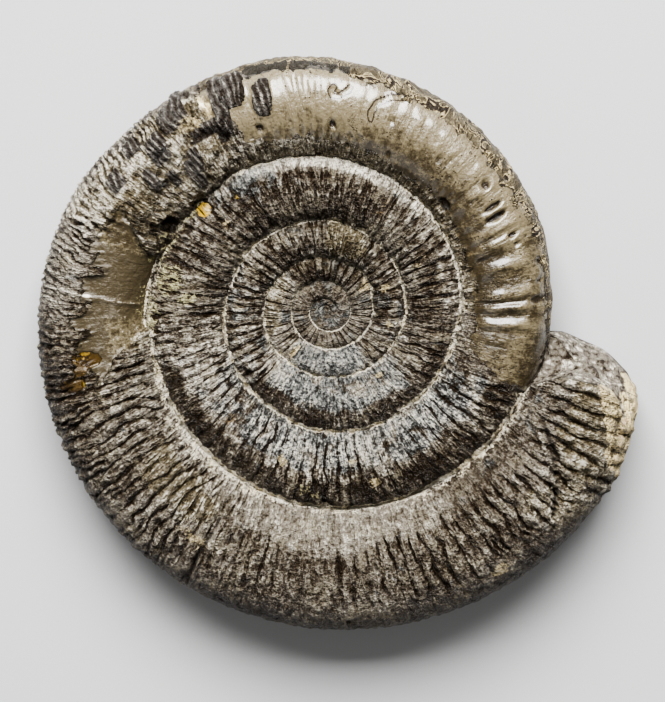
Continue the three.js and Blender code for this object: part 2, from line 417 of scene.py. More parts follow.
def ring_turns(coil, part, end, outermost):
    """Turns of a stretch's rings: a whole number of them in each rib, one of which lies in the groove's bottom,
    or evenly spaced ones where the ribs are only beginning."""
    if not part.rings_per_rib:
        return np.linspace(part.start, end, INNERMOST_RINGS, endpoint=False)
    step = 1.0 / part.rings_per_rib
    first = math.ceil((coil.ribs(part.start) - 0.5) / step)
    stop = (coil.ribs(end) - 0.5) / step
    count = np.arange(first, math.floor(stop) + 1 if outermost else math.ceil(stop - 0.5)) * step + 0.5
    return coil.turn_at(count)


def drawn_back(coil, turn, section):
    """Draws the last whorl's end, and the ring of the whorl inside that the broken face comes down to, back to
    the slanting line of the break; both pulls fade over a short way."""
    last, first = coil.shape.last_turn, STRETCHES[-1].start
    seam = coil.section_at(coil.cos_seam)
    end = math.ceil(last) - listed(section, BREAK_LINE) / 360 - last
    start = math.ceil(first) - listed(section, ((-seam, BREAK_LINE[0][1]), (seam, BREAK_LINE[-1][1]))) / 360 - first
    return turn + end * smooth(turn, last - 0.13, last) + start * (1.0 - smooth(np.abs(turn - first), 0.0, 0.13))


def build_skin(coil):
    """Lays out the whole surface: one grid for the top and one for the underside of each stretch of the spiral,
    zipped to each other, to the stretch before and, along the seams, to the whorl inside. Returns the skin and
    the loop of points round the broken end."""
    skin = Skin()
    seam = coil.section_at(coil.cos_seam)
    crease = coil.section_at(-coil.shape.dorsal_reach) - 1.0
    seams = {1: ([], []), -1: ([], [])}
    before = {}
    for stage, part in enumerate(STRETCHES):
        outermost = part is STRETCHES[-1]
        end = coil.shape.last_turn if outermost else STRETCHES[stage + 1].start
        rings = ring_turns(coil, part, end, outermost)
        for side, columns in ((1, part.top_columns), (-1, part.lower_columns)):
            section = np.linspace(crease, seam, columns)
            if outermost and side > 0:
                section = np.append(np.linspace(crease, seam, columns * 3 // 4),
                                    np.linspace(seam, 3.0 - seam, columns // 4 + 1)[1:])
            section = section if side > 0 else -section[::-1]
            turn = (rings if side > 0 else rings[::2])[:, None]
            turn = drawn_back(coil, turn, section[None, :])
            index = skin.grid(turn, section[None, :])
            if side in before:
                ring, ring_section = before[side]
                facing = np.abs(section) >= seam - 1e-6
                if side > 0:
                    facing = section >= seam - 1e-6
                skin.zip(ring, -ring_section, index[0][facing], -section[facing], turned=True)
            before[side] = index[-1], section
            inner, outer = (0, int(np.argmin(np.abs(section - seam)))) if side > 0 else (-1, 0)
            reach = 1 if outermost else len(turn)
            seams[side][0].append((index[:reach, outer], turn[:reach, outer]))
            seams[side][1].append((index[:, inner], turn[:, inner]))
            if outermost and side > 0:
                top, top_turn, top_section = index, turn, section
    skin.zip(top[:, -1], top_turn[:, -1], index[:, 0], turn[:, 0])
    start = top[0][top_section <= seam + 1e-6]
    loop = np.concatenate([top[-1], index[-1], index[0][:1], start[::-1]])
    for side, (outer, inner) in seams.items():
        close_seam(skin, outer, inner, side)
    return skin, loop


def close_seam(skin, outer, inner, side):
    """Closes one side: each whorl's inner column to the seam of the whorl inside it, one turn earlier, and the
    first whorl to the knob in the middle."""
    outer_index, outer_turn = (np.concatenate(part) for part in zip(*outer))
    inner_index, inner_turn = (np.concatenate(part) for part in zip(*inner))
    first = int(np.searchsorted(inner_turn, outer_turn[0] + 1, side="right")) - 1
    turned = side < 0
    skin.zip(outer_index, outer_turn + 1, inner_index[first:], inner_turn[first:], turned)
    knob = skin.grid(np.array([[outer_turn[0] - 1]]), np.array([[side * 90.0]]))[0, 0]
    skin.knobs.append(knob)
    skin.join(knob, inner_index[:first], inner_index[1:first + 1], turned)
    columns = STRETCHES[0].top_columns if side > 0 else STRETCHES[0].lower_columns
    start = np.append(outer_index[0] - side * np.arange(columns), knob)
    skin.join(inner_index[first], start[:-1], start[1:], turned)


# ---------------------------------------------------------------------------------------------------------
# Wear, breaks and growths, and stretches of painted light and shade
# ---------------------------------------------------------------------------------------------------------

# A mark on a whorl's upper side: its turn, its place across, its half length along the coil and its half width
# over the whorl, both in millimetres, and how strong or how deep it is
Mark = namedtuple("Mark", "turn across along over depth")
# A line over a whorl's upper side: its half width in millimetres, how strong or deep it is, its (turn, across) corners
Line = namedtuple("Line", "width depth corners")

# A stretch of a whorl's upper side between two turns and two places across that is lighter or darker than the rest
Tone = namedtuple("Tone", "start end inside outside change")
# Lighter and darker stretches: partly the stone's own tone, partly painted light and shade. They are lighter on slopes
# that face the key light and darker on slopes that face away, along the lower outer rim, in a hollow of the bare side
# and over the mould's side away from the light
TONES_AND_PAINTED_LIGHT = (
    Tone(3.94, 3.988, 0.1, 0.4, 0.02), Tone(3.94, 3.988, 0.4, 1.0, -0.42), Tone(3.988, 4.06, 0.2, 0.9, -0.34), Tone(4.06, 4.17, 0.25, 0.6, -0.17),
    Tone(4.05, 4.12, 0.1, 0.35, 0.1), Tone(4.22, 4.32, 0.15, 0.9, 0.1), Tone(4.27, 4.32, 0.15, 0.6, 0.18),
    Tone(4.432, 4.45, 0.2, 0.5, -0.25), Tone(4.33, 4.42, 0.0, 0.35, 0.06), Tone(4.33, 4.42, 0.35, 0.75, 0.08),
    Tone(4.38, 4.44, 0.6, 1.0, 0.27), Tone(4.44, 4.5, 0.6, 1.0, 0.16), Tone(4.5, 4.57, 0.45, 1.0, -0.11),
    Tone(4.57, 4.68, 0.35, 1.0, 0.02), Tone(4.69, 4.83, 0.3, 0.6, -0.04), Tone(4.69, 4.88, 0.6, 1.0, -0.03),
    Tone(4.5, 4.9, 0.86, 1.0, -0.1), Tone(4.68, 4.88, 0.86, 1.0, -0.04), Tone(4.6, 4.68, 0.0, 0.15, 0.12),
    Tone(4.68, 4.84, 0.0, 0.28, 0.18), Tone(4.84, 4.96, 0.0, 0.28, -0.05), Tone(4.4, 4.51, 0.0, 0.15, -0.18),
    Tone(4.4, 4.55, 0.15, 0.6, -0.08), Tone(4.89, 4.97, 0.1, 1.0, 0.11),
    Tone(3.12, 3.36, 0.74, 1.0, 0.27), Tone(3.2, 3.3, 0.74, 1.0, 0.2), Tone(3.16, 3.34, 0.0, 0.68, -0.22),
    Tone(3.0, 3.15, 0.1, 0.6, -0.06), Tone(3.0, 3.15, 0.6, 0.9, 0.08), Tone(3.03, 3.1, 0.3, 0.6, -0.08), Tone(3.33, 3.52, 0.0, 0.6, -0.07), Tone(3.42, 3.52, 0.6, 1.0, -0.05),
    Tone(3.52, 3.9, 0.0, 0.5, 0.1), Tone(3.56, 3.94, 0.58, 1.0, -0.3), Tone(3.77, 3.795, 0.4, 0.7, -0.25),
    Tone(3.55, 3.575, 0.62, 0.86, -0.35), Tone(3.583, 3.602, 0.45, 0.65, -0.3), Tone(3.605, 3.63, 0.6, 0.88, -0.35),
    Tone(3.566, 3.58, 0.4, 0.62, 0.3), Tone(3.84, 3.87, 0.62, 0.86, -0.2),
    Tone(3.825, 3.85, 0.42, 0.75, -0.3),
    Tone(2.62, 2.96, 0.55, 1.0, -0.24), Tone(2.0, 2.36, 0.0, 0.45, -0.16), Tone(2.0, 2.36, 0.45, 1.0, -0.07), Tone(2.17, 2.25, 0.15, 0.9, -0.14),
    Tone(2.36, 2.52, 0.0, 1.0, -0.06), Tone(2.58, 2.9, 0.0, 0.5, 0.16), Tone(1.0, 1.2, 0.0, 1.0, -0.02),
    Tone(1.2, 1.36, 0.0, 1.0, -0.16), Tone(1.36, 1.6, 0.0, 1.0, 0.14), Tone(1.62, 1.86, 0.0, 1.0, 0.13),
    Tone(-2.0, 0.05, 0.0, 1.0, -0.02), Tone(0.4, 1.0, 0.0, 1.0, 0.05),
)
# Stretches whose light and dark stand further apart
CONTRASTS = (
    Tone(3.5, 3.94, 0.0, 1.0, 0.3), Tone(2.62, 2.92, 0.45, 1.0, 0.3), Tone(3.16, 3.34, 0.0, 0.68, 0.2),
    Tone(4.68, 4.9, 0.5, 1.0, 0.14), Tone(4.405, 4.5, 0.6, 1.0, -0.22), Tone(4.55, 4.68, 0.55, 1.0, 0.12), Tone(2.4, 2.62, 0.0, 1.0, 0.1),
    Tone(3.16, 3.34, 0.7, 1.0, -0.3), Tone(4.68, 4.9, 0.0, 0.3, -0.1), Tone(4.9, 4.97, 0.0, 1.0, 0.15),
)
# Stretches that are stained ochre
OCHRE_STAINS = (
    Tone(2.17, 2.25, 0.15, 0.9, 1.0), Tone(4.61, 4.665, 0.18, 0.42, 0.7), Tone(4.325, 4.385, 0.3, 0.88, 0.75),
    Tone(1.38, 1.56, 0.25, 0.9, 0.65), Tone(4.405, 4.45, 0.3, 0.62, 1.0), Tone(4.5, 4.53, 0.0, 0.35, 0.8),
    Tone(4.92, 4.968, 0.35, 0.9, 0.8), Tone(4.885, 4.93, 0.5, 1.0, 0.5), Tone(4.54, 4.72, 0.15, 0.95, 0.3), Tone(4.78, 4.9, 0.2, 0.9, 0.26),
    Tone(3.36, 3.52, 0.2, 0.9, 0.2), Tone(4.33, 4.445, 0.03, 0.95, 0.62),
    Tone(4.0, 4.33, 0.0, 0.24, 0.62),
)
# Turns at which the polished mould swells where ribs used to be
MOULD_CRESTS = (
    3.93, 3.945, 3.962, 3.978, 3.9925, 4.0085, 4.0185, 4.0435, 4.0645, 4.0755, 4.09, 4.108, 4.123, 4.1335,
    4.1445, 4.156, 4.1675, 4.179, 4.191, 4.203, 4.214, 4.2245, 4.2365, 4.2495, 4.2585, 4.2665, 4.2745, 4.286, 4.3, 4.312,
    4.33,
)
MOULD_PITS = (
    Mark(4.0585, 0.69, 0.30, 0.5, 0.5), Mark(4.0665, 0.67, 0.30, 0.75, 0.9), Mark(4.0605, 0.79, 0.2, 0.25, 0.3),
    Mark(4.069, 0.8, 0.3, 0.3, 0.3), Mark(4.085, 0.6, 0.45, 1.65, 1.1), Mark(4.0935, 0.6, 0.38, 1.5, 1.0),
    Mark(4.11, 0.66, 0.7, 0.8, 0.8), Mark(4.106, 0.42, 0.5, 0.55, 0.35), Mark(4.12, 0.17, 1.3, 0.7, 0.9),
    Mark(4.055, 0.28, 0.22, 1.1, 0.35), Mark(4.077, 0.53, 0.2, 1.0, 0.25), Mark(4.143, 0.56, 0.35, 0.5, 0.4),
    Mark(4.144, 0.47, 0.3, 0.4, 0.4), Mark(4.15, 0.5, 0.5, 0.5, 0.5), Mark(4.16, 0.62, 0.3, 0.4, 0.35),
    Mark(4.1975, 0.57, 0.5, 0.5, 0.6), Mark(4.191, 0.22, 0.3, 0.3, 0.4), Mark(4.243, 0.34, 0.6, 0.5, 0.8),
    Mark(4.219, 0.27, 0.4, 0.3, 0.4), Mark(4.227, 0.25, 0.4, 0.3, 0.4), Mark(4.277, 0.37, 0.3, 0.35, 0.5),
    Mark(4.285, 0.38, 0.25, 0.3, 0.4), Mark(4.302, 0.345, 0.7, 0.55, 0.8), Mark(4.242, 0.69, 0.35, 0.4, 0.5),
    Mark(4.122, 0.29, 0.25, 0.6, 0.3), Mark(4.135, 0.28, 0.2, 0.5, 0.25), Mark(4.027, 0.86, 0.3, 0.5, 0.5),
    Mark(4.013, 0.83, 0.6, 1.0, 0.6), Mark(4.04, 0.9, 0.4, 0.5, 0.5),
)
MOULD_TRACKS = (
    Line(0.3, 1.0, ((4.1935, 0.865), (4.204, 0.785), (4.2113, 0.69), (4.2145, 0.56), (4.2135, 0.49))),
    Line(0.25, 1.0, ((4.232, 0.76), (4.2345, 0.7), (4.24, 0.645), (4.2445, 0.64), (4.2455, 0.69), (4.243, 0.74))),
    Line(0.2, 0.9, ((4.1, 0.93), (4.107, 0.87), (4.118, 0.84), (4.126, 0.9))),
    Line(0.2, 0.9, ((4.009, 0.93), (4.02, 0.9), (4.033, 0.93), (4.042, 0.88))),
)
# Plates of dark shell that still stand over the mould and the broken stretch
SHELL_PLATES = (
    Mark(4.294, 0.64, 1.4, 2.75, 0.45), Mark(4.311, 0.8, 1.55, 2.6, 0.45), Mark(4.3225, 0.78, 1.0, 3.0, 0.45),
    Mark(4.3245, 0.52, 1.15, 2.1, 0.4), Mark(4.338, 0.55, 2.4, 0.95, 0.55), Mark(4.3535, 0.82, 2.1, 1.9, 0.55),
    Mark(4.3475, 0.93, 0.9, 1.2, 0.4), Mark(4.371, 0.66, 1.0, 2.4, 0.65), Mark(4.3774, 0.64, 1.0, 2.0, 0.6),
    Mark(4.3855, 0.83, 1.3, 1.1, 0.6), Mark(4.408, 0.72, 1.4, 1.5, 0.4), Mark(4.392, 0.47, 0.9, 1.9, 0.65),
    Mark(4.366, 0.25, 1.1, 1.9, 0.6), Mark(4.357, 0.36, 1.0, 1.6, 0.55), Mark(4.38, 0.33, 0.8, 1.4, 0.6),
)
# Cracks, grooves and scars, which go down where the depth is positive
CRACKS = (
    Line(0.15, -0.22, ((4.483, 0.95), (4.4845, 0.79), (4.4867, 0.55), (4.489, 0.25), (4.4915, 0.05))),
    Line(0.14, -0.2, ((4.28, 0.2), (4.287, 0.14), (4.296, 0.1))),
    Line(0.12, -0.15, ((4.309, 0.28), (4.318, 0.2))),
    # This groove above the seam is carved and also coloured near-black as a pit, a painted shadow in it
    Line(0.4, 0.5, ((3.735, 0.93), (3.77, 0.95), (3.81, 0.95), (3.85, 0.9))),
    Line(0.16, 0.7, ((4.674, 0.92), (4.6735, 0.6), (4.675, 0.3))),
    Line(0.3, -0.3, ((4.883, 0.74), (4.899, 0.57), (4.913, 0.36), (4.927, 0.17))),
    Line(0.35, 0.85, ((4.887, 0.74), (4.903, 0.57), (4.917, 0.38), (4.93, 0.2))),
    Line(0.14, 0.3, ((4.692, 0.8), (4.71, 0.62), (4.728, 0.42), (4.742, 0.3))),
    Line(0.12, 0.25, ((4.705, 0.85), (4.718, 0.66), (4.727, 0.52), (4.74, 0.38))),
    Line(0.14, 0.3, ((4.768, 0.18), (4.776, 0.1), (4.782, 0.05))),
    Line(0.16, 0.35, ((4.52, 0.03), (4.527, 0.15), (4.535, 0.3), (4.552, 0.42))),
    Line(0.25, -0.35, ((4.95, 0.07), (4.957, 0.14), (4.963, 0.24))),
)
PALE_LINES = (
    # The first two lines are a painted highlight along the lit side of the ridge raised at turn 4.484
    Line(0.1, 0.85, ((4.4835, 0.9), (4.4845, 0.75), (4.4862, 0.55))),
    Line(0.02, 0.65, ((4.4862, 0.55), (4.4885, 0.25), (4.491, 0.05))),
    Line(0.05, 0.85, ((4.28, 0.2), (4.287, 0.14), (4.296, 0.1))),
    Line(0.05, 0.8, ((4.309, 0.28), (4.318, 0.2))),
    Line(0.2, 0.55, ((4.69, 0.78), (4.708, 0.6), (4.726, 0.4), (4.74, 0.28))),
    Line(0.2, 0.55, ((4.71, 0.86), (4.722, 0.62), (4.73, 0.48), (4.745, 0.36))),
    Line(0.25, 0.7, ((4.883, 0.74), (4.899, 0.57), (4.913, 0.36), (4.927, 0.17))),
    Line(0.3, 0.7, ((4.424, 0.5), (4.43, 0.35), (4.437, 0.2), (4.436, 0.1))),
    Line(0.3, 0.6, ((4.525, 0.1), (4.532, 0.3), (4.548, 0.44))),
    Line(0.35, 0.7, ((4.836, 0.74), (4.848, 0.82))),
    Line(0.3, 0.7, ((4.95, 0.07), (4.957, 0.14), (4.966, 0.3))),
)
AMBER_SPAR = (Mark(4.5295, 0.54, 1.3, 2.3, 1.0), Mark(4.5435, 0.7, 1.0, 2.1, 1.0), Mark(4.536, 0.62, 1.0, 1.0, 0.9))
SULPHUR_SPAR = (Mark(3.386, 0.8, 0.9, 1.0, 1.0), Mark(3.352, 0.66, 0.35, 1.0, 0.45))
RUST_STAINS = (Mark(3.633, 0.36, 0.7, 0.8, 1.0), Mark(3.17, 0.5, 1.0, 1.6, 0.5))
LICHEN = (
    Mark(3.43, 0.9, 1.2, 0.6, 0.8), Mark(3.465, 0.75, 2.2, 1.8, 0.8), Mark(3.48, 0.45, 1.0, 1.8, 0.6), Mark(3.4, 0.92, 3.0, 0.7, 1.0), Mark(3.44, 0.93, 2.4, 0.7, 1.0),
    Mark(3.495, 0.93, 2.4, 0.7, 1.0),
    Mark(3.735, 0.72, 1.6, 0.8, 0.9), Mark(3.505, 0.88, 1.6, 1.0, 0.8), Mark(4.43, 0.03, 4.0, 0.7, 0.8), Mark(4.49, 0.03, 3.0, 0.6, 0.6),
)
HOLLOWS = (
    Mark(4.416, 0.06, 1.6, 1.0, 1.2), Mark(4.345, 0.5, 2.0, 0.6, 0.9), Mark(4.375, 0.6, 2.2, 0.4, 0.8),
    Mark(4.389, 0.33, 0.8, 1.0, 0.8), Mark(4.33, 0.4, 1.0, 1.4, 0.8), Mark(3.752, 0.85, 0.9, 0.8, 0.8),
    Mark(2.605, 0.74, 0.9, 0.7, 0.7), Mark(2.621, 0.45, 0.3, 1.3, 0.8), Mark(3.345, 0.58, 1.6, 0.5, 0.6),
    Mark(3.41, 0.82, 1.2, 0.7, 0.6), Mark(4.335, 0.7, 0.5, 1.2, 0.5), Mark(4.6925, 0.34, 0.6, 0.9, 0.6),
    Mark(4.688, 0.4, 0.5, 0.9, 0.6), Mark(4.6825, 0.47, 0.5, 1.0, 0.5), Mark(4.642, 0.66, 0.5, 1.6, 0.6),
)
CREAM_SPOTS = (
    Mark(2.866, 0.18, 0.6, 0.35, 1.0), Mark(1.975, 0.5, 0.4, 0.5, 0.8), Mark(2.065, 0.4, 0.5, 0.5, 0.8),
    Mark(1.1, 0.72, 0.7, 0.9, 1.0), Mark(4.3325, 0.75, 0.8, 1.6, 0.9), Mark(4.346, 0.68, 1.6, 1.0, 0.7),
    Mark(3.705, 0.43, 0.9, 0.8, 0.9), Mark(3.796, 0.6, 0.9, 0.9, 0.8), Mark(3.78, 0.3, 0.7, 0.5, 0.7),
    Mark(3.38, 0.45, 0.9, 0.7, 0.6), Mark(4.846, 0.8, 1.3, 0.8, 0.9), Mark(4.665, 0.56, 2.5, 1.0, 0.6),
    Mark(3.085, 0.46, 0.5, 0.5, 0.8), Mark(3.08, 0.3, 0.8, 0.7, 0.7), Mark(1.645, 0.45, 0.35, 1.2, 0.8),
)


class Surface:
    """Every point's place on the shell as whole arrays, and the marks that are read on it."""

    def __init__(self, coil, turn, section):
        self.coil, self.turn, self.section = coil, turn, section
        self.centre, self.half_height, self.half_thickness = coil.tube(turn)
        self.whole = 1.0 + coil.shape.dorsal_reach
        self.across = (coil.outline(section)[0] + coil.shape.dorsal_reach) / self.whole
        self.top = section > -14.0
        self.along = coil.along(turn)
        self.over = self.across * self.half_height * self.whole
        self.round = coil.arc(section) * self.half_height
        self.point = coil.point(turn, section, 0.0)
        self.coarse = self.fractal(3.2, 10, 3)
        self.fine = self.fractal(1.1, 20, 3)
        self.grain = self.fractal(0.8, 30, 3)

    def fractal(self, size, offset, octaves=4):
        """Fixed fractal noise over the surface."""
        return fractal(self.point, size * MM, self.coil.shape.seed + offset, octaves)

    def fibres(self, size, length, offset, octaves=3):
        """Fixed fractal noise that is drawn out over the whorl's side, along its ribs."""
        points = np.stack([self.along / size, self.round / length, 0.0 * self.round], axis=-1)
        return fractal(points, MM, self.coil.shape.seed + offset, octaves)

    def place(self, turn, across):
        """Length along the coil and length over the whorl's side of a place on it."""
        half_height = self.coil.tube(np.array(turn))[1]
        return self.coil.along(turn), np.array(across) * half_height * self.whole

    def near(self, turn):
        return self.top & (np.abs(self.turn - turn) < 0.25)

    def marks(self, marks, edge=0.35, ragged=0.35):
        """Each mark's depth in its middle and 0 away from it, by the distance along and over the surface in half
        sizes, with a ragged edge; where marks overlap, the deeper one counts."""
        total = np.zeros(len(self.turn))
        for mark in marks:
            along, over = self.place(mark.turn, mark.across)
            distance = np.hypot((self.along - along) / (mark.along * MM), (self.over - over) / (mark.over * MM))
            distance = distance + ragged * self.fine
            inside = mark.depth * (1.0 - smooth(distance, 1.0 - edge, 1.0 + edge))
            total = np.where(self.near(mark.turn), np.maximum(total, inside), total)
        return total

    def plates(self, marks):
        """Squarish marks with a steep, nicked edge: the distance counts both ways by its fourth power."""
        total = np.zeros(len(self.turn))
        for mark in marks:
            along, over = self.place(mark.turn, mark.across)
            apart = (self.along - along + 0.15 * (self.over - over)) / (mark.along * MM)
            distance = (apart**4 + ((self.over - over) / (mark.over * MM)) ** 4) ** 0.25
            inside = mark.depth * (1.0 - smooth(distance + 0.22 * self.fine + 0.1 * self.coarse, 0.9, 1.08))
            total = np.where(self.near(mark.turn), np.maximum(total, inside), total)
        return total

    def lines(self, lines):
        """Each line's depth on it and 0 away from it, by the distance to the nearest of its straight pieces."""
        total = np.zeros(len(self.turn))
        for line in lines:
            corners = np.array(line.corners)
            along, over = self.place(corners[:, 0], corners[:, 1])
            across, down = self.along + 0.25 * MM * self.fine, self.over + 0.25 * MM * self.coarse
            distance = np.full(len(self.turn), 1.0)
            for x0, y0, x1, y1 in zip(along[:-1], over[:-1], along[1:], over[1:]):
                way_x, way_y = x1 - x0, y1 - y0
                share = ((across - x0) * way_x + (down - y0) * way_y) / (way_x**2 + way_y**2)
                share = np.clip(share, 0.0, 1.0)
                distance = np.minimum(distance, np.hypot(across - x0 - share * way_x, down - y0 - share * way_y))
            inside = line.depth * np.clip(1.0 - distance / ((line.width + 0.45) * MM), 0.0, 1.0)
            total = total + np.where(self.near(corners[:, 0].mean()), inside, 0.0)
        return total

    def patch(self, start, end, inside, outside, soft=0.01, soft_over=0.05):
        """1 on the upper side between two turns and two places across, with soft and ragged edges."""
        turn = self.turn + 0.03 * self.coarse / np.maximum(self.centre, 4 * MM) * 10 * MM
        across = self.across + 0.12 * self.coarse
        inner = smooth(across, inside - soft_over, inside + soft_over) if inside > 0 else 1.0
        outer = 1.0 - smooth(across, outside - soft_over, outside + soft_over) if outside < 1 else 1.0
        return self.top * stretch(turn, start, end, soft) * inner * outer


def rib_shape(surface):
    """Ribs from 0 in a groove to 1 on a crest: the cosine of the distance to the nearest whole number of the rib
    count, drawn out to a low power, so that ribs are broad and grooves narrow. Near the outer edge of the last
    whorl ribs split in two, by the sine of twice the distance. Also returns the count and where ribs split."""
    turn, across = surface.turn, surface.across
    waver = 0.5 * surface.fractal(5.0, 1, 2) + 0.26 * surface.fractal(1.8, 4, 2)
    waver = waver + 0.9 * smooth(across, 0.6, 1.0) * stretch(turn, 4.38, 4.52, 0.03)
    waver = waver - 1.1 * (1.0 - smooth(across, 0.0, 0.32)) * stretch(turn, 4.56, 4.68, 0.02)
    count = surface.coil.ribs(turn) + waver * smooth(turn, 0.5, 2.5)
    nearest = np.round(count)
    chance = numbered(nearest, 5)
    apart = np.abs(count - nearest)
    often = listed(turn, ((4.3, 0.0), (4.38, 1.0), (4.5, 1.0), (4.55, 0.55), (4.88, 0.5), (4.9, 0.12)))
    split = smooth(across, 0.45 + 0.25 * chance, 0.62 + 0.25 * chance) * (chance < often)
    split = np.maximum(split, 0.55 * (numbered(nearest, 9) < 0.3) * smooth(turn, 2.6, 3.2) * (turn < 3.94))
    ridge = (1.0 - split) * np.cos(np.pi * apart) ** 0.7 + split * np.abs(np.sin(FULL * apart)) ** 0.7
    beads = fractal(np.stack([3.7 * nearest, surface.round / (1.3 * MM), 0.0 * count], axis=-1), 1.0, 63, 3)
    return ridge * (0.8 + 0.44 * beads), count, split


def numbered(number, seed):
    """A fixed chance from 0 to 1 for each whole number."""
    number = number.astype(np.int64)
    return scatter(np.stack([number, 0 * number, 0 * number], axis=-1), seed)


def carve(coil, skin):
    """Works out how far every point is pushed out or in, and the fields that the stone's colours follow."""
    surface = Surface(coil, np.concatenate(skin.turn), np.concatenate(skin.section))
    turn, across, top, half_height = surface.turn, surface.across, surface.top, surface.half_height
    coarse, fine, grain, patch = surface.coarse, surface.fine, surface.grain, surface.patch
    underside = ~top

    # The polished mould, the crusts along both its edges, the broken stretch and the bare side after it
    slant = turn + 0.05 * (across - 0.6) * (across < 0.6) * (turn < 4.1) + 0.004 * coarse
    mould = stretch(slant, 3.943, 4.318 + 0.018 * (across > 0.5), 0.004)
    edge_inside = listed(turn, ((3.9, 0.25), (4.0, 0.13), (4.1, 0.12), (4.17, 0.12), (4.24, 0.18), (4.32, 0.2)))
    edge_outside = listed(turn, ((3.95, 1.0), (4.0, 0.94), (4.05, 0.9), (4.09, 0.84), (4.19, 0.84), (4.24, 0.89), (4.32, 0.9)))
    polish = mould * smooth(across + 0.1 * fine, edge_inside - 0.02, edge_inside + 0.03)
    upper = smooth(surface.section + 14.0 * coarse + 6.0 * fine, -58.0, -48.0)
    polish = polish * (1.0 - upper * smooth(across + 0.1 * fine, edge_outside - 0.02, edge_outside + 0.03))
    rim = stretch(turn + 0.008 * coarse, 3.99, 4.33, 0.01) * upper * (across > 0.7) * (1.0 - polish)
    edge = across + 0.03 * fine
    gap = turn + 0.02 * (across - 0.9)
    plate = top * stretch(turn, 4.234, 4.302, 0.002) * stretch(edge, 0.885, 0.97, 0.012)
    plate = plate * (1.0 - stretch(gap, 4.241, 4.243, 0.001)) * (1.0 - stretch(gap, 4.2725, 4.2745, 0.001))
    slanting = turn + 0.004 * coarse + 0.001 * fine
    bare = smooth(slanting - listed(across, ((0.08, 4.4465), (0.53, 4.419), (0.7, 4.42))), -0.002, 0.002)
    bare = bare * smooth(listed(across, ((0.0, 4.515), (0.15, 4.527), (0.3, 4.535), (0.45, 4.55))) - slanting, 0.0, 0.004)
    tongue = 0.22 * (numbered(np.round(coil.ribs(turn) + 1.5 * (0.6 - across) + 0.6 * coarse), 91) - 0.5)
    bare = top * bare * (1.0 - smooth(across + 0.1 * coarse + 0.05 * fine + tongue, 0.46, 0.66))
    layers = patch(4.385, 4.505, 0.6, 1.0, 0.01, 0.06)
    rough = patch(4.325, 4.43, 0.0, 0.72, 0.006, 0.08)
    dusty = patch(4.685, 4.955, 0.0, 0.25, 0.02, 0.06)
    worn = patch(4.675, 4.905, 0.74, 1.0, 0.02, 0.04) + 0.5 * patch(4.70, 4.80, 0.42, 1.0, 0.03, 0.1)
    shell = surface.plates(SHELL_PLATES) / 0.45
    spar = surface.marks(AMBER_SPAR, 0.2, 0.35)

    frost = patch(3.66, 3.94, 0.0, 0.48, 0.03) + patch(2.64, 2.9, 0.0, 0.55, 0.03) + patch(1.64, 1.86, 0.0, 1.0, 0.02)
    frost = frost + 0.8 * patch(3.3, 3.37, 0.55, 0.9, 0.01) + 0.7 * patch(3.56, 3.66, 0.0, 0.5, 0.02)
    frost = np.clip(frost, 0, 1) * top
    bold = patch(4.895, 4.975, 0.08, 1.0, 0.008)
    drawn = (1.0 - 0.3 * frost) * (1.0 - 0.6 * bold) * (0.4 + 0.6 * smooth(turn, 0.2, 1.2))
    drawn = drawn * (1.0 - 0.5 * patch(4.56, 4.9, 0.5, 1.0, 0.03)) * (1.0 - 0.5 * patch(4.68, 4.9, 0.0, 0.5, 0.03))
    drawn = drawn * (1.0 - 0.8 * bare)

    # How much of the ribs is left
    ridge, count, split = rib_shape(surface)
    left = (0.6 + 0.4 * smooth(numbered(np.round(count), 77), 0.0, 0.7)) * smooth(turn, 0.0, 0.8)
    left = left * (0.5 + 0.5 * smooth(surface.fractal(4.5, 66, 3) + 0.25 * fine, -0.35, 0.25))
    left = left * (1.0 - 0.15 * patch(3.64, 3.9, 0.0, 1.0, 0.02)) * (1.0 - 0.15 * patch(4.66, 4.9, 0.0, 1.0, 0.03))
    left = left * (1.0 - 0.9 * stretch(turn, 3.943, 4.318, 0.006))
    left = left * (1.0 - 0.92 * bare) * (1.0 - 0.6 * rough) * (1.0 - 0.55 * dusty) * (1.0 - 0.7 * np.clip(worn, 0, 1))
    left = left * smooth(across, 0.0, 0.10) * np.where(turn < 3.94, 1.0 - 0.75 * smooth(across, 0.86, 0.925), 1.0)
    left = left * (1.0 - 0.8 * patch(2.175, 2.25, 0.0, 1.0)) * (1.0 - 0.5 * patch(2.64, 2.9, 0.0, 1.0))
    left = left * (1.0 - 0.65 * patch(1.63, 1.86, 0.0, 1.0)) * (1.0 - 0.45 * patch(3.17, 3.33, 0.0, 1.0))
    left = left * (1.0 + 0.6 * bold) * (1.0 + 0.4 * patch(4.8, 4.9, 0.25, 0.8, 0.01)) * (
        1.0 + 0.25 * patch(4.54, 4.66, 0.2, 1.0, 0.02)) * (1.0 + 0.1 * layers)

    fibre = surface.fibres(0.55, 2.4, 50)
    hair = surface.fibres(0.28, 1.5, 55, 2)
    splinter = 1.0 - 2.6 * np.abs(surface.fibres(1.1, 3.6, 58, 3))
    crease = 1.0 - 2.6 * np.abs(surface.fractal(1.5, 60, 3))
    crumbs = 0.55 - cells(surface.point, 1.0 * MM, 70)
    lift = coil.shape.rib_height * half_height * np.minimum(left, 1.0)
    lift = lift - coil.shape.rib_depth * half_height * left * (1.0 - ridge) * (1.0 + 0.5 * coarse)
    chips = smooth(fine + 0.5 * coarse + 0.5 * fibre, 0.0, 0.45) * (1.0 - polish) * (1.0 - bare)
    lift = lift - 0.06 * half_height * chips * left * ridge

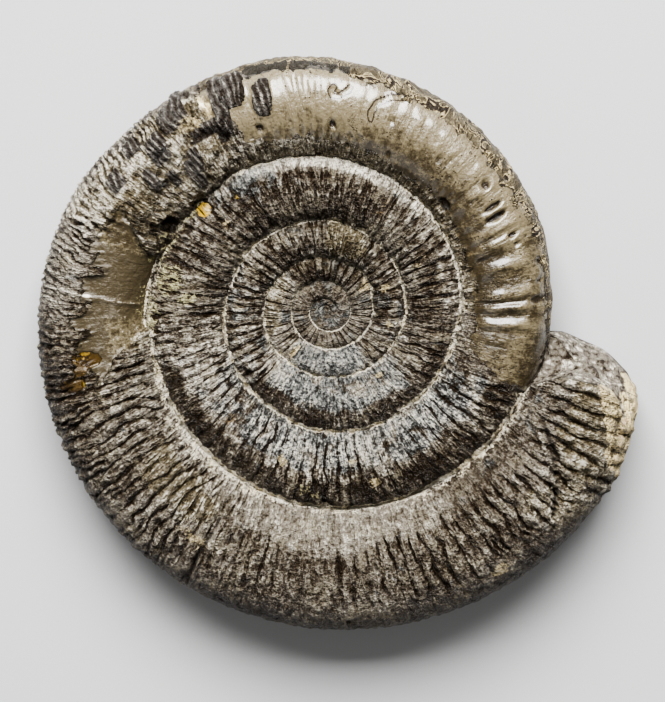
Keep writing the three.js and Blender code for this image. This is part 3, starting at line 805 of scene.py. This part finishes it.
    # Swells of the mould where its ribs were
    bent = turn + 0.0028 * surface.fractal(3.4, 86, 2)
    wave = np.cos(FULL * np.interp(bent, MOULD_CRESTS, np.arange(len(MOULD_CRESTS))))
    height = listed(turn, (
        (3.94, 0.02), (3.982, 0.03), (3.992, 0.25), (4.05, 0.25), (4.075, 0.12), (4.11, 0.08), (4.13, 0.06), (4.15, 0.035),
        (4.2, 0.03), (4.24, 0.045), (4.255, 0.11), (4.28, 0.11), (4.29, 0.04), (4.32, 0.03)))
    reach = listed(turn, ((4.1, 0.76), (4.24, 0.86)))
    height = height * (1.0 + 0.8 * surface.fractal(2.0, 88, 2))
    lift = lift + 0.05 * MM * polish * surface.fractal(1.8, 89, 2)
    lift = lift + height * MM * wave * stretch(turn, 3.943, 4.318, 0.01) * smooth(across, 0.12, 0.3) * (
        1.0 - smooth(across, reach - 0.08, reach + 0.06))

    # Stone's own roughness, and everything that was laid on or broken off
    size = np.minimum(1.0, half_height / (5 * MM))
    rugged = (1.0 - 0.96 * polish) * (1.0 - 0.7 * bare) * (1.0 - 0.8 * plate) * (1.0 - 0.5 * rim) * (1.0 - 0.5 * layers) * (1.0 - 0.4 * bold)
    lift = lift + size * rugged * MM * (
        0.14 * grain + 0.12 * fine + 0.14 * coarse + drawn * (0.16 * fibre + 0.14 * hair + 0.16 * splinter)
        + 0.2 * crumbs + (0.14 + 0.2 * frost) * crease - 0.1)
    seam_line = np.exp(-((surface.over / MM - 0.35) / 0.45) ** 2) * top * smooth(turn, 0.4, 1.0)
    seam_line = seam_line * (1.0 - 0.6 * stretch(turn, 4.35, 4.5, 0.02))
    lift = lift + 0.3 * MM * size * seam_line * (0.7 + 0.6 * surface.fractal(2.2, 83, 2))
    blocks = surface.fractal(2.4, 40, 3)
    lumps = 0.5 - cells(surface.point, 2.1 * MM, 75)
    lift = lift + 0.3 * MM * lumps * patch(4.54, 4.94, 0.3, 1.0, 0.03)
    lift = lift + MM * rough * (0.8 * blocks + 0.4 * np.sign(blocks) * np.abs(blocks) ** 0.5 + 0.7 * lumps)
    lift = lift + MM * rim * (1 - plate) * 0.4 * (surface.fractal(2.6, 44, 2) - 0.1)
    lift = lift - 0.07 * half_height * bare
    fold = 0.5 + 0.5 * np.cos(2 * FULL * count)
    lift = lift + MM * shell * (0.4 + 0.16 * fold + 0.35 * fine) - 0.25 * MM * spar
    pits = surface.marks(MOULD_PITS, 0.3, 0.25)
    hollows = surface.marks(HOLLOWS, 0.4, 0.5)
    tracks = surface.lines(MOULD_TRACKS)
    cracks = surface.lines(CRACKS)
    lift = lift - MM * (0.8 * pits + 0.8 * hollows + 0.18 * smooth(tracks, 0.3, 0.7) + cracks)
    lift = lift + 0.2 * MM * dusty * surface.fractal(1.8, 48, 3)

    pale_lines = surface.lines(PALE_LINES)
    fields = {
        "share": np.clip(left, 0, 1.5), "count": count, "split": split, "track": tracks,
        # Relief sets the colour's lightness: crests lighter and grooves darker, partly wear and dirt, partly painted
        # highlight and shade
        "relief": (2 * ridge - 1) * left + 0.3 * fine + drawn * (0.6 * fibre + 0.5 * hair + 0.5 * splinter)
        + 0.8 * crumbs - 0.6 * chips * left + 0.5 * crease - 0.3 + 0.4 * frost * coarse,
        "polish": polish * (1 - np.minimum(shell, 1)), "bare": bare, "rim": rim * (1 - plate), "plate": plate, "rough": rough,
        "shell": np.clip(shell * 1.3, 0, 1), "amber": spar,
        "pit": np.clip(pits + hollows + np.clip(cracks, 0, 1), 0, 1), "line": np.clip(pale_lines, 0, 1),
        "sulphur": surface.marks(SULPHUR_SPAR, 0.2, 0.5), "rust": np.maximum(surface.marks(RUST_STAINS, 0.6, 0.8), 0.25 * patch(4.02, 4.33, 0.0, 0.19)),
        "lichen": surface.marks(LICHEN, 0.6, 1.0), "cream": surface.marks(CREAM_SPOTS, 0.5, 0.8),
    }
    outer = np.where(turn < 3.94, listed(across, ((0.86, 0.0), (0.9, 0.95))), 0.0)
    outer = outer * (1.0 - 0.6 * stretch(turn, 3.345, 3.52, 0.015))
    powder = 0.95 - surface.over / (listed(turn, SEAM_POWDER) * MM * (1.0 + 0.7 * surface.fractal(1.6, 81, 2)))
    powder = powder * np.where(turn > 4.0, 0.85, 1.0)
    fields["seam"] = np.clip(np.maximum(outer, powder), 0, 1) * top * smooth(turn, -0.1, 0.6)
    crusted = listed(turn, ((4.9, 1.2), (4.917, 1.1), (4.92, 0.94), (4.928, 0.81), (4.943, 0.69), (4.96, 0.56), (4.972, 0.46), (4.982, 0.38)))
    below = smooth(surface.section + 14.0 * coarse + 8.0 * fine, -45.0, -25.0)
    fields["mouth"] = below * smooth(across + 0.07 * coarse + 0.06 * fine - crusted, -0.03, 0.04) * (turn > 4.9)
    # The tone field carries the stone's own lighter and darker stretches together with painted light and shade
    tone_and_painted_light = sum(part.change * patch(*part[:4], 0.012) for part in TONES_AND_PAINTED_LIGHT)
    # Painted shade and highlight over the polished mould: darker towards its inner edge, a painted highlight band
    # about two thirds of the way across, and painted sheen along the crests of its swells
    shade = listed(across, ((0.0, -0.7), (0.2, -0.45), (0.35, -0.12), (0.5, 0.1), (0.65, 0.35), (0.8, 0.2), (1.0, -0.1)))
    fields["tone_and_painted_light"] = tone_and_painted_light + polish * (shade + 0.14 * wave * smooth(height, 0.04, 0.1))
    frost = frost + 0.3 * (1.0 - smooth(turn, 2.5, 3.1)) + 0.2 * (1.0 - smooth(turn, 0.0, 0.3))
    fields["frost"] = np.clip(frost, 0, 1) * top
    fields["contrast"] = 1.12 - 0.22 * np.clip(frost, 0, 1) * top * smooth(turn, 0.6, 1.4) - 0.38 * np.maximum(1.0 - smooth(turn, 0.6, 2.2), 0.3 * bold) + sum(
        part.change * patch(*part[:4], 0.02) for part in CONTRASTS)
    fields["drawn"] = drawn
    fields["tan"] = sum(part.change * patch(*part[:4], 0.01) for part in OCHRE_STAINS)
    return surface, lift, fields


def build_break(coil, skin, loop, points):
    """The broken face at the mouth: the loop round it, drawn in step by step to a point in its middle, with the
    steps between pushed out by the sine of the way in and by fractal noise. Returns its new points."""
    centre, _, _ = coil.tube(np.array(coil.shape.last_turn))
    turn = coil.shape.last_turn - 0.02
    middle = np.array([centre * math.cos(FULL * turn), centre * math.sin(FULL * turn), 0.0])
    steps = np.linspace(0, 1, 19)[1:-1]
    rim = points[loop]
    out = np.array([-math.sin(FULL * turn), math.cos(FULL * turn), 0.0])
    face = rim[None] + (middle - rim)[None] * steps[:, None, None]
    inwards = np.sin(math.pi * steps / 2 + 0.1)[:, None]
    bulge = 0.5 * np.sin(math.pi * steps)[:, None] + inwards * (
        1.3 * fractal(face, 3.5 * MM, 90, 3) + 0.5 * fractal(face, 1.2 * MM, 95, 2) + 0.8 * (0.5 - cells(face, 1.8 * MM, 97)))
    bulge = bulge * MM
    face = face + bulge[..., None] * out
    index = skin.count + np.arange(face.shape[0] * face.shape[1]).reshape(face.shape[:2])
    index = np.concatenate([loop[None], index])
    a, b = index[:-1], np.roll(index[:-1], -1, axis=1)
    d, c = index[1:], np.roll(index[1:], -1, axis=1)
    skin.join(a, b, c)
    skin.join(a, c, d)
    tip = skin.count + face.shape[0] * face.shape[1]
    skin.join(index[-1], np.roll(index[-1], -1), tip)
    return np.concatenate([face.reshape(-1, 3), (middle + 1.0 * MM * out)[None]])


def solid_knob():
    """Where the middle of the solid's coil comes out on top: of the two points that most of its triangles share,
    the upper one."""
    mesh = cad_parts[NODE].data
    points = np.empty(len(mesh.vertices) * 3)
    corners = np.empty(len(mesh.loops), int)
    mesh.vertices.foreach_get("co", points)
    mesh.loops.foreach_get("vertex_index", corners)
    shared, times = np.unique(np.round(points.reshape(-1, 3)[corners], 7), axis=0, return_counts=True)
    knobs = shared[np.argsort(times)[-2:]]
    return knobs[np.argmax(knobs[:, 2])]


def lay_down(coil, points, knob):
    """Tilts the fossil as it rests, sets its knob over the solid's and its top as high as the solid's, and wears
    off what would reach below the surface that it lies on."""
    x, y = coil.shape.tilt_x, coil.shape.tilt_y
    about_x = np.array([[1, 0, 0], [0, math.cos(x), -math.sin(x)], [0, math.sin(x), math.cos(x)]])
    about_y = np.array([[math.cos(y), 0, math.sin(y)], [0, 1, 0], [-math.sin(y), 0, math.cos(y)]])
    points = points @ (about_x @ about_y).T
    shift = solid_knob() - points[knob]
    shift[2] = FRAME_HIGH[2] - points[:, 2].max()
    points = points + shift
    points[:, 2] = np.maximum(points[:, 2], 0.0)
    return points


def make_mesh(name, points, triangles, fields, plane):
    """Puts points, triangles, the coil's own map and the fields into a new mesh object at the origin."""
    mesh = bpy.data.meshes.new(name)
    mesh.vertices.add(len(points))
    mesh.vertices.foreach_set("co", points.astype(np.float32).ravel())
    mesh.loops.add(triangles.size)
    mesh.loops.foreach_set("vertex_index", triangles.astype(np.int32).ravel())
    mesh.polygons.add(len(triangles))
    mesh.polygons.foreach_set("loop_start", np.arange(0, triangles.size, 3, dtype=np.int32))
    mesh.polygons.foreach_set("use_smooth", np.ones(len(triangles), bool))
    layer = mesh.uv_layers.new(name="coil")
    layer.uv.foreach_set("vector", plane[triangles.ravel()].astype(np.float32).ravel())
    for field, values in fields.items():
        attribute = mesh.attributes.new(field, "FLOAT", "POINT")
        attribute.data.foreach_set("value", values.astype(np.float32))
    mesh.update(calc_edges=True)
    mesh.validate()
    piece = bpy.data.objects.new(name, mesh)
    bpy.context.scene.collection.objects.link(piece)
    return piece


# ---------------------------------------------------------------------------------------------------------
# Stone
# ---------------------------------------------------------------------------------------------------------


class Wire:
    """A number that runs through a material. Its operators add Math nodes, so that sums read as sums."""

    def __init__(self, dye, socket):
        self.dye, self.socket = dye, socket

    def math(self, operation, *others):
        terms = {i: term for i, term in enumerate((self, *others))}
        return self.dye.node("ShaderNodeMath", {"operation": operation}, terms).wire(0)

    def __add__(self, other):
        return self.math("ADD", other)

    __radd__ = __add__

    def __mul__(self, other):
        return self.math("MULTIPLY", other)

    __rmul__ = __mul__

    def __sub__(self, other):
        return self.math("SUBTRACT", other)

    def __rsub__(self, other):
        return (self * -1.0) + other

    def __truediv__(self, other):
        return self.math("DIVIDE", other)

    def __pow__(self, other):
        return self.math("POWER", other)

    def __abs__(self):
        return self.math("ABSOLUTE")

    def most(self, other):
        return self.math("MAXIMUM", other)

    def least(self, other):
        return self.math("MINIMUM", other)

    def step(self, low, high):
        """0 at low, 1 at high and an even S between them."""
        inputs = {"Value": self, "From Min": low, "From Max": high}
        return self.dye.node("ShaderNodeMapRange", {"interpolation_type": "SMOOTHSTEP"}, inputs).wire(0)


class Placed:
    """A node just placed, from which outputs are taken."""

    def __init__(self, dye, node):
        self.dye, self.node = dye, node

    def wire(self, output):
        return Wire(self.dye, self.node.outputs[output])


class Dye:
    """Places nodes in one material's tree."""

    def __init__(self, name):
        self.material = bpy.data.materials.new(name)
        self.material.use_nodes = True
        self.tree = self.material.node_tree
        self.tree.nodes.clear()

    def node(self, kind, settings=None, inputs=None):
        """Adds a node: its settings first, then the values or links of its sockets."""
        node = self.tree.nodes.new(kind)
        for name, value in (settings or {}).items():
            setattr(node, name, value)
        for name, value in (inputs or {}).items():
            if isinstance(value, Wire):
                self.tree.links.new(value.socket, node.inputs[name])
            else:
                node.inputs[name].default_value = value
        return Placed(self, node)

    def field(self, name):
        """Reads one of the mesh's fields."""
        return self.node("ShaderNodeAttribute", {"attribute_name": name}).wire("Fac")

    def noise(self, place, size, detail=4.0, roughness=0.55, distortion=0.0):
        """Noise of about 0 to 1 whose largest lumps have the given size."""
        inputs = {"Vector": place, "Scale": 0.5 / size, "Detail": detail, "Roughness": roughness,
                  "Distortion": distortion}
        return self.node("ShaderNodeTexNoise", {"noise_dimensions": "3D"}, inputs).wire("Fac")

    def cells(self, place, size, feature="F1"):
        """Distance to the middle of the nearest cell, or to the nearest edge between cells, in cell sizes."""
        settings = {"voronoi_dimensions": "3D", "feature": feature}
        return self.node("ShaderNodeTexVoronoi", settings, {"Vector": place, "Scale": 1.0 / size}).wire("Distance")

    def mix(self, share, first, second):
        """Goes from the first colour to the second."""
        colours = {0: share, 6: self.colour(first), 7: self.colour(second)}
        return self.node("ShaderNodeMix", {"data_type": "RGBA", "clamp_factor": True}, colours).wire(2)

    def shade(self, colour, factor):
        """Multiplies a colour by a number."""
        colour = colour if isinstance(colour, Wire) else tuple(colour)
        return self.node("ShaderNodeVectorMath", {"operation": "SCALE"}, {0: colour, "Scale": factor}).wire(0)

    def colour(self, value):
        return value if isinstance(value, Wire) else (*value, 1.0)


def dye_stone(colours):
    """The fossil's one material. The grooves are near-black, partly dirt and partly painted shade; umber lies on the
    slopes and pale stone on the crests, partly wear and partly painted highlight, each broken up by noise; the
    fields carved into the mesh lay the polished mould, bare matrix, crusts, spar and lichen over it, and the tone
    field adds painted light and shade."""
    dye = Dye("fossil_stone")
    place = dye.node("ShaderNodeTexCoord").wire("Object")
    coil = dye.node("ShaderNodeUVMap", {"uv_map": "coil"}).wire(0)
    streaks = dye.node("ShaderNodeMapping", {}, {"Vector": coil, "Scale": (1.0, 0.2, 1.0)}).wire(0)

    broad = dye.noise(place, 6 * MM, 3.0)
    patch = dye.noise(place, 2.2 * MM, 4.0, 0.6)
    tint = dye.noise(place, 1.6 * MM, 4.0, 0.65, 0.6)
    grit = dye.noise(place, 0.7 * MM, 4.0, 0.65)
    dust = dye.noise(place, 0.24 * MM, 3.0, 0.75)
    streak = dye.noise(streaks, 0.3 * MM, 3.0, 0.65)
    needle = dye.noise(streaks, 0.17 * MM, 2.0, 0.6)
    crystal = dye.cells(place, 0.45 * MM)
    splinter = 1.0 - abs(dye.noise(streaks, 0.6 * MM, 3.0, 0.6) - 0.5) * 7.0
    crease = 1.0 - abs(dye.noise(place, 0.8 * MM, 3.0, 0.6) - 0.5) * 7.0
    mottle = (grit - 0.5) * 1.6 + (dust - 0.5) * 1.3
    field = dye.field
    share, count, drawn = field("share"), field("count"), field("drawn")

    def laid(name, ragged=1.0, low=0.35, high=0.6):
        """A field's mask, with its edge broken up by the mottling."""
        mask = field(name)
        return (mask + mottle * ragged).step(low, high) * mask.step(0.0, 0.15)

    apart = abs(count.math("FRACT") - 0.5)
    ribbed = abs((count * 2.0).math("FRACT") - 0.5)
    apart = apart - (apart - apart.least(0.25 - ribbed * 0.5)) * field("split")
    # Near-black in the grooves: partly dirt, partly painted shade
    groove = apart + mottle * 0.13 + (patch - 0.45) * 0.28
    groove = (1.0 - groove.step(0.0, 0.16)) * share.step(0.2, 0.9)
    # Lightness rises on crests and falls in grooves with the carved relief, partly wear and dirt, partly painted
    # highlight and shade; the tone field adds painted light and shade as well
    level = field("relief") * 0.17 + (broad - 0.5) * 0.7 + (patch - 0.5) * (0.6 + field("frost") * 0.4) + (grit - 0.5) * 1.05 + (dust - 0.5) * (1.55 + field("frost") * 0.7)
    level = level + ((streak - 0.5) * 1.2 + (needle - 0.5) * (1.2 + field("frost") * 0.6)) * drawn - groove * 0.46 + (splinter * drawn + crease) * 0.07
    level = level * field("contrast") + field("tone_and_painted_light") * 1.2 + 0.46
    warm = dye.mix(level.step(0.05, 0.40), colours.groove, colours.umber)
    warm = dye.mix(level.step(0.38, 0.75), warm, colours.stone)
    cool = dye.mix(level.step(0.10, 0.50), colours.groove, colours.slate)
    cool = dye.mix(level.step(0.42, 0.85), cool, colours.frost)
    cold = (tint * 1.6 - 0.93 + field("frost") * 0.38 + mottle * 0.1).step(0.0, 0.25)
    stone = dye.mix(cold, warm, cool)
    stone = dye.mix(level.step(0.78, 1.2) * (1.0 - field("frost") * 0.25), stone, colours.chalk)
    stone = dye.mix((broad - 0.5 + mottle * 0.3).step(0.0, 0.2) * 0.3, stone, colours.bare)
    gold = (patch * 0.6 + streak * 0.4 - cold - 0.5 + mottle * 0.1).step(0.0, 0.12)
    stone = dye.mix(gold * level.step(0.25, 0.6) * 0.5, stone, colours.honey)
    stone = dye.mix(groove * 0.8, stone, colours.groove)

    # The mould's lightness: its own olive and honey, plus the painted shade, highlight band and sheen that the tone
    # field carries
    sheen = broad * 0.9 + streak * 0.8 + (patch - 0.5) * 0.6 + field("tone_and_painted_light") * 0.8 + mottle * 0.8
    mould = dye.mix(sheen.step(0.4, 1.05), colours.olive, colours.honey)
    freckle = (1.0 - crystal.step(0.16, 0.36)) * (patch + grit * 0.9 - 1.0).step(0.0, 0.15)
    scratch = (1.0 - abs(tint - 0.5).step(0.004, 0.018)) * (broad + grit * 0.6 - 0.93).step(0.0, 0.1)
    outline = 1.0 - abs(field("track") - 0.45 + mottle * 0.04).step(0.05, 0.16)
    nick = freckle.most(scratch).most(outline)
    mould = dye.mix(nick * 0.8, mould, colours.groove)
    polished = laid("polish", 0.5)
    swirl = dye.noise(place, 3.2 * MM, 3.0, 0.55, 1.2)
    contour = abs((swirl * 6.0).math("FRACT") - 0.5)
    gilt = patch * 0.6 + tint * 0.5 + mottle * 0.5
    crust = dye.mix(gilt.step(0.34, 0.84), colours.olive, colours.honey)
    crust = dye.mix(gilt.step(0.68, 0.98) * 0.7, crust, colours.cream)
    crust = dye.mix((1.0 - abs(contour - 0.16 + mottle * 0.06).step(0.03, 0.08)) * 0.5, crust, colours.cream)
    crust = dye.mix(1.0 - (contour + mottle * 0.08).step(0.05, 0.12), crust, colours.groove)
    matrix = dye.mix(
        (patch * 0.8 + mottle * 0.5 + streak * 0.1 + field("tone_and_painted_light")).step(0.35, 1.0), colours.bare, colours.stone)
    ochre = dye.mix(level.step(0.1, 0.65), colours.olive, colours.honey)
    ochre = dye.mix(level.step(0.65, 1.05) * 0.7, ochre, colours.chalk)
    mouth = dye.mix((patch + mottle * 0.9).step(0.2, 0.5), colours.honey, colours.cream)
    mouth = dye.mix((tint + mottle * 0.5).step(0.56, 0.74) * 0.5, mouth, colours.rose)
    mouth = dye.mix((broad + mottle * 0.6).step(0.5, 0.7) * 0.3, mouth, colours.chalk)
    mouth = dye.mix((1.0 - (level + crease * 0.15).step(0.1, 0.5)) * 0.6, mouth, colours.umber)
    nodule = dye.cells(place, 1.0 * MM)
    nodes = (0.75 - nodule * 0.7) + mottle * 0.7 + (tint - 0.5) * 1.2 + (crease + 0.3) * 0.08
    broken = dye.mix(nodes.step(0.0, 0.3), colours.groove, colours.umber)
    broken = dye.mix(nodes.step(0.15, 0.5), broken, colours.stone)
    broken = dye.mix(nodes.step(0.55, 0.95), broken, colours.chalk)
    spot = dye.mix((grit + dust * 0.5).step(0.55, 0.95), colours.honey, colours.cream)
    yellow = dye.mix(grit.step(0.5, 0.7) * 0.5, colours.sulphur, colours.chalk)
    scale = dye.mix((ribbed + mottle * 0.5 + (patch - 0.5)).step(-0.05, 0.4), colours.groove, colours.scale)
    scale = dye.mix((ribbed + mottle * 0.6).step(0.4, 0.65) * 0.45, scale, colours.chalk)

    base = stone
    base = dye.mix(laid("bare", 0.6), base, matrix)
    base = dye.mix(laid("tan", 0.8) * 0.75, base, ochre)
    base = dye.mix(laid("rim", 0.5), base, crust)
    base = dye.mix(polished, base, mould)
    kept = dye.mix((tint + mottle * 0.5).step(0.5, 0.95) * 0.8, dye.shade(colours.bare, 0.4), colours.stone)
    base = dye.mix(laid("plate", 0.3), base, kept)
    base = dye.mix(laid("shell", 0.3), base, scale)
    base = dye.mix(laid("cream", 1.2) * 0.7, base, spot)
    base = dye.mix(laid("lichen", 1.2) * level.step(0.3, 0.7) * 0.75, base, colours.lichen)
    base = dye.mix(laid("rust", 1.0) * level.step(0.1, 0.7) * 0.45, base, dye.shade(colours.amber, 3.3))
    resin = dye.mix((patch + mottle * 0.3 - 0.42).step(0.0, 0.12), colours.groove, colours.amber)
    resin = dye.mix((tint + mottle * 0.3).step(0.54, 0.66) * 0.45, resin, colours.sulphur)
    base = dye.mix(laid("amber", 0.5), base, resin)
    base = dye.mix(laid("sulphur", 0.6), base, yellow)
    # Pits, hollows and cracks are near-black: partly their own dark floors, partly painted shade in the recess
    pitted = laid("pit", 0.5, 0.25, 0.7)
    base = dye.mix(pitted * 0.95, base, dye.mix(mottle.step(0.05, 0.4), colours.groove, colours.slate))
    # Pale lines, one of them a painted highlight along a ridge
    base = dye.mix(laid("line", 0.3, 0.45, 0.85), base, colours.chalk)
    base = dye.mix(field("broken"), base, broken)
    base = dye.mix(laid("mouth", 0.5), base, mouth)
    powder = dye.mix((tint + mottle * 0.3).step(0.4, 0.65) * 0.5, colours.chalk, colours.cream)
    base = dye.mix(laid("seam", 1.2, 0.35, 0.7) * 0.9, base, powder)

    gloss = polished.most(laid("amber", 0.5)).most(laid("plate", 0.3) * 0.2).most(laid("rim", 0.5) * 0.4)
    roughness = (0.3 + level.step(0.2, 0.9) * 0.3) * (1.0 - gloss) + gloss * (0.2 + patch * 0.2)
    height = grit * 0.9 + dust * 0.7 + patch * 0.5 + (streak * 1.2 + needle * 0.6) * drawn - crystal * 0.2 - groove * 0.45
    height = height + (splinter.most(-0.5) + crease.most(-0.5)) * 0.22
    height = height * (1.0 - gloss * 0.88) * (1.0 - laid("bare", 0.6) * 0.88) - nick * gloss * 0.25 - (1.0 - contour.step(0.0, 0.15)) * laid("rim", 0.5) * 0.12
    bump = dye.node("ShaderNodeBump", {}, {"Height": height, "Distance": 1.2 * MM, "Strength": 1.0}).wire(0)
    surface = dye.node("ShaderNodeBsdfPrincipled", {}, {
        "Base Color": base, "Roughness": roughness, "Coat Weight": polished * (1.0 - pitted), "Normal": bump,
        "Coat Roughness": 0.16, "Coat IOR": 1.5, "IOR": 1.5})
    dye.node("ShaderNodeOutputMaterial", {}, {"Surface": surface.wire(0)})
    return dye.material


# ---------------------------------------------------------------------------------------------------------
# Operators
# ---------------------------------------------------------------------------------------------------------


class OBJECT_OT_carve_fossil(bpy.types.Operator):
    """Carve the ammonite over its solid and give it its stone"""

    bl_idname = "object.carve_fossil"
    bl_label = "Carve fossil"

    def execute(self, context):
        coil = Coil(context.scene.fossil_shape)
        skin, loop = build_skin(coil)
        surface, lift, fields = carve(coil, skin)
        points = coil.point(surface.turn, surface.section, lift)
        for knob, rise in zip(skin.knobs, (1, -1)):
            points[knob] = (0.0, 0.0, rise * 0.75 * MM)
        face = build_break(coil, skin, loop, points)
        points = np.concatenate([points, face])
        steps = np.linspace(0, 1, 19)[1:-1, None]
        frayed = fractal(face[:-1].reshape(17, -1, 3), 2.5 * MM, 99, 3)
        crust = fields["mouth"][loop] * (1.0 - smooth(steps + 0.35 * frayed, 0.05, 0.4))
        fields = {name: np.append(values, np.zeros(len(face))) for name, values in fields.items()}
        fields["mouth"][-len(face):-1] = crust.ravel()
        fields["broken"] = np.append(np.zeros(len(surface.turn)), np.ones(len(face)))
        plane = np.stack([surface.along, surface.round], axis=-1)
        plane = np.concatenate([plane, face[:, [0, 2]]])
        piece = make_mesh("fossil", lay_down(coil, points, skin.knobs[0]), np.concatenate(skin.triangles), fields, plane)
        piece.data.materials.append(dye_stone(context.scene.fossil_colours))
        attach(piece, "root")
        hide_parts(NODE)
        return {"FINISHED"}


class OBJECT_OT_set_up_studio(bpy.types.Operator):
    """Lay the pale floor, hang the soft lights and place the camera"""

    bl_idname = "object.set_up_studio"
    bl_label = "Set up studio"

    def execute(self, context):
        studio = context.scene.fossil_studio
        scene = context.scene
        aim = Vector(solid_knob()) - Vector((0, 0, 1.6 * MM))
        look = Vector((
            -math.sin(studio.lean_x) * math.cos(studio.lean_y),
            -math.sin(studio.lean_y),
            -math.cos(studio.lean_x) * math.cos(studio.lean_y),
        )).normalized()
        right = look.cross(Vector((0, 1, 0))).normalized()
        up = right.cross(look)

        floor = bpy.data.meshes.new("floor")
        side = 3.0
        floor.from_pydata([(-side, -side, 0), (side, -side, 0), (side, side, 0), (-side, side, 0)], [], [(0, 1, 2, 3)])
        floor = bpy.data.objects.new("floor", floor)
        floor.location.z = -0.00005
        scene.collection.objects.link(floor)
        dye = Dye("floor_paper")
        surface = dye.node("ShaderNodeBsdfPrincipled", {}, {"Base Color": (*studio.floor, 1.0), "Roughness": 0.9})
        dye.node("ShaderNodeOutputMaterial", {}, {"Surface": surface.wire(0)})
        floor.data.materials.append(dye.material)

        lights = (
            ("key_light", Vector((-0.02, 0.77, 0.69)), 0.8, 0.6, studio.key_power),
            ("fill_light", Vector((-0.35, -0.75, 0.70)), 0.6, 0.6, studio.fill_power),
        )
        for name, place, width, height, power in lights:
            lamp = bpy.data.lights.new(name, "AREA")
            lamp.energy, lamp.shape, lamp.size, lamp.size_y = power, "RECTANGLE", width, height
            lamp = bpy.data.objects.new(name, lamp)
            lamp.location = place
            lamp.rotation_mode = "QUATERNION"
            lamp.rotation_quaternion = (Vector((0, 0, 0.01)) - place).to_track_quat("-Z", "Y")
            scene.collection.objects.link(lamp)

        world = bpy.data.worlds.new("studio_air")
        world.use_nodes = True
        world.node_tree.nodes["Background"].inputs["Color"].default_value = (1, 1, 1, 1)
        world.node_tree.nodes["Background"].inputs["Strength"].default_value = studio.sky
        scene.world = world

        lens = bpy.data.cameras.new("camera")
        lens.sensor_width = 36.0
        lens.lens = lens.sensor_width * studio.distance / studio.picture_height
        camera = bpy.data.objects.new("camera", lens)
        camera.location = aim + 1.05 * MM * right - 6.67 * MM * up - look * studio.distance
        camera.rotation_mode = "QUATERNION"
        camera.rotation_quaternion = Matrix((right, up, -look)).transposed().to_quaternion()
        lens.clip_start, lens.clip_end = 0.01, 20.0
        scene.collection.objects.link(camera)
        scene.camera = camera
        scene.view_settings.look = "AgX - High Contrast"
        return {"FINISHED"}


class VIEW3D_PT_fossil(bpy.types.Panel):
    """Lists the fossil's sizes, colours and steps"""

    bl_label = "Ammonite Fossil"
    bl_space_type = "VIEW_3D"
    bl_region_type = "UI"
    bl_category = "Fossil"

    def draw(self, context):
        layout = self.layout
        for group, steps in GROUPS.items():
            settings = getattr(context.scene, group)
            box = layout.box()
            for name in settings.__annotations__:
                box.prop(settings, name)
            for step in steps:
                box.operator(step.bl_idname)


GROUPS = {
    "fossil_shape": (OBJECT_OT_carve_fossil,),
    "fossil_colours": (),
    "fossil_studio": (OBJECT_OT_set_up_studio,),
}
SETTINGS = {"fossil_shape": FossilShape, "fossil_colours": StoneColours, "fossil_studio": StudioSettings}
OPERATORS = (OBJECT_OT_carve_fossil, OBJECT_OT_set_up_studio)


def register():
    for kind in (*SETTINGS.values(), *OPERATORS, VIEW3D_PT_fossil):
        bpy.utils.register_class(kind)
    for name, kind in SETTINGS.items():
        setattr(bpy.types.Scene, name, PointerProperty(type=kind))


def unregister():
    for name in SETTINGS:
        delattr(bpy.types.Scene, name)
    for kind in reversed((*SETTINGS.values(), *OPERATORS, VIEW3D_PT_fossil)):
        bpy.utils.unregister_class(kind)


def main():
    """Runs the steps in order."""
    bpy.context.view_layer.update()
    register()
    bpy.ops.object.carve_fossil()
    bpy.ops.object.set_up_studio()


if __name__ == "__main__":
    main()
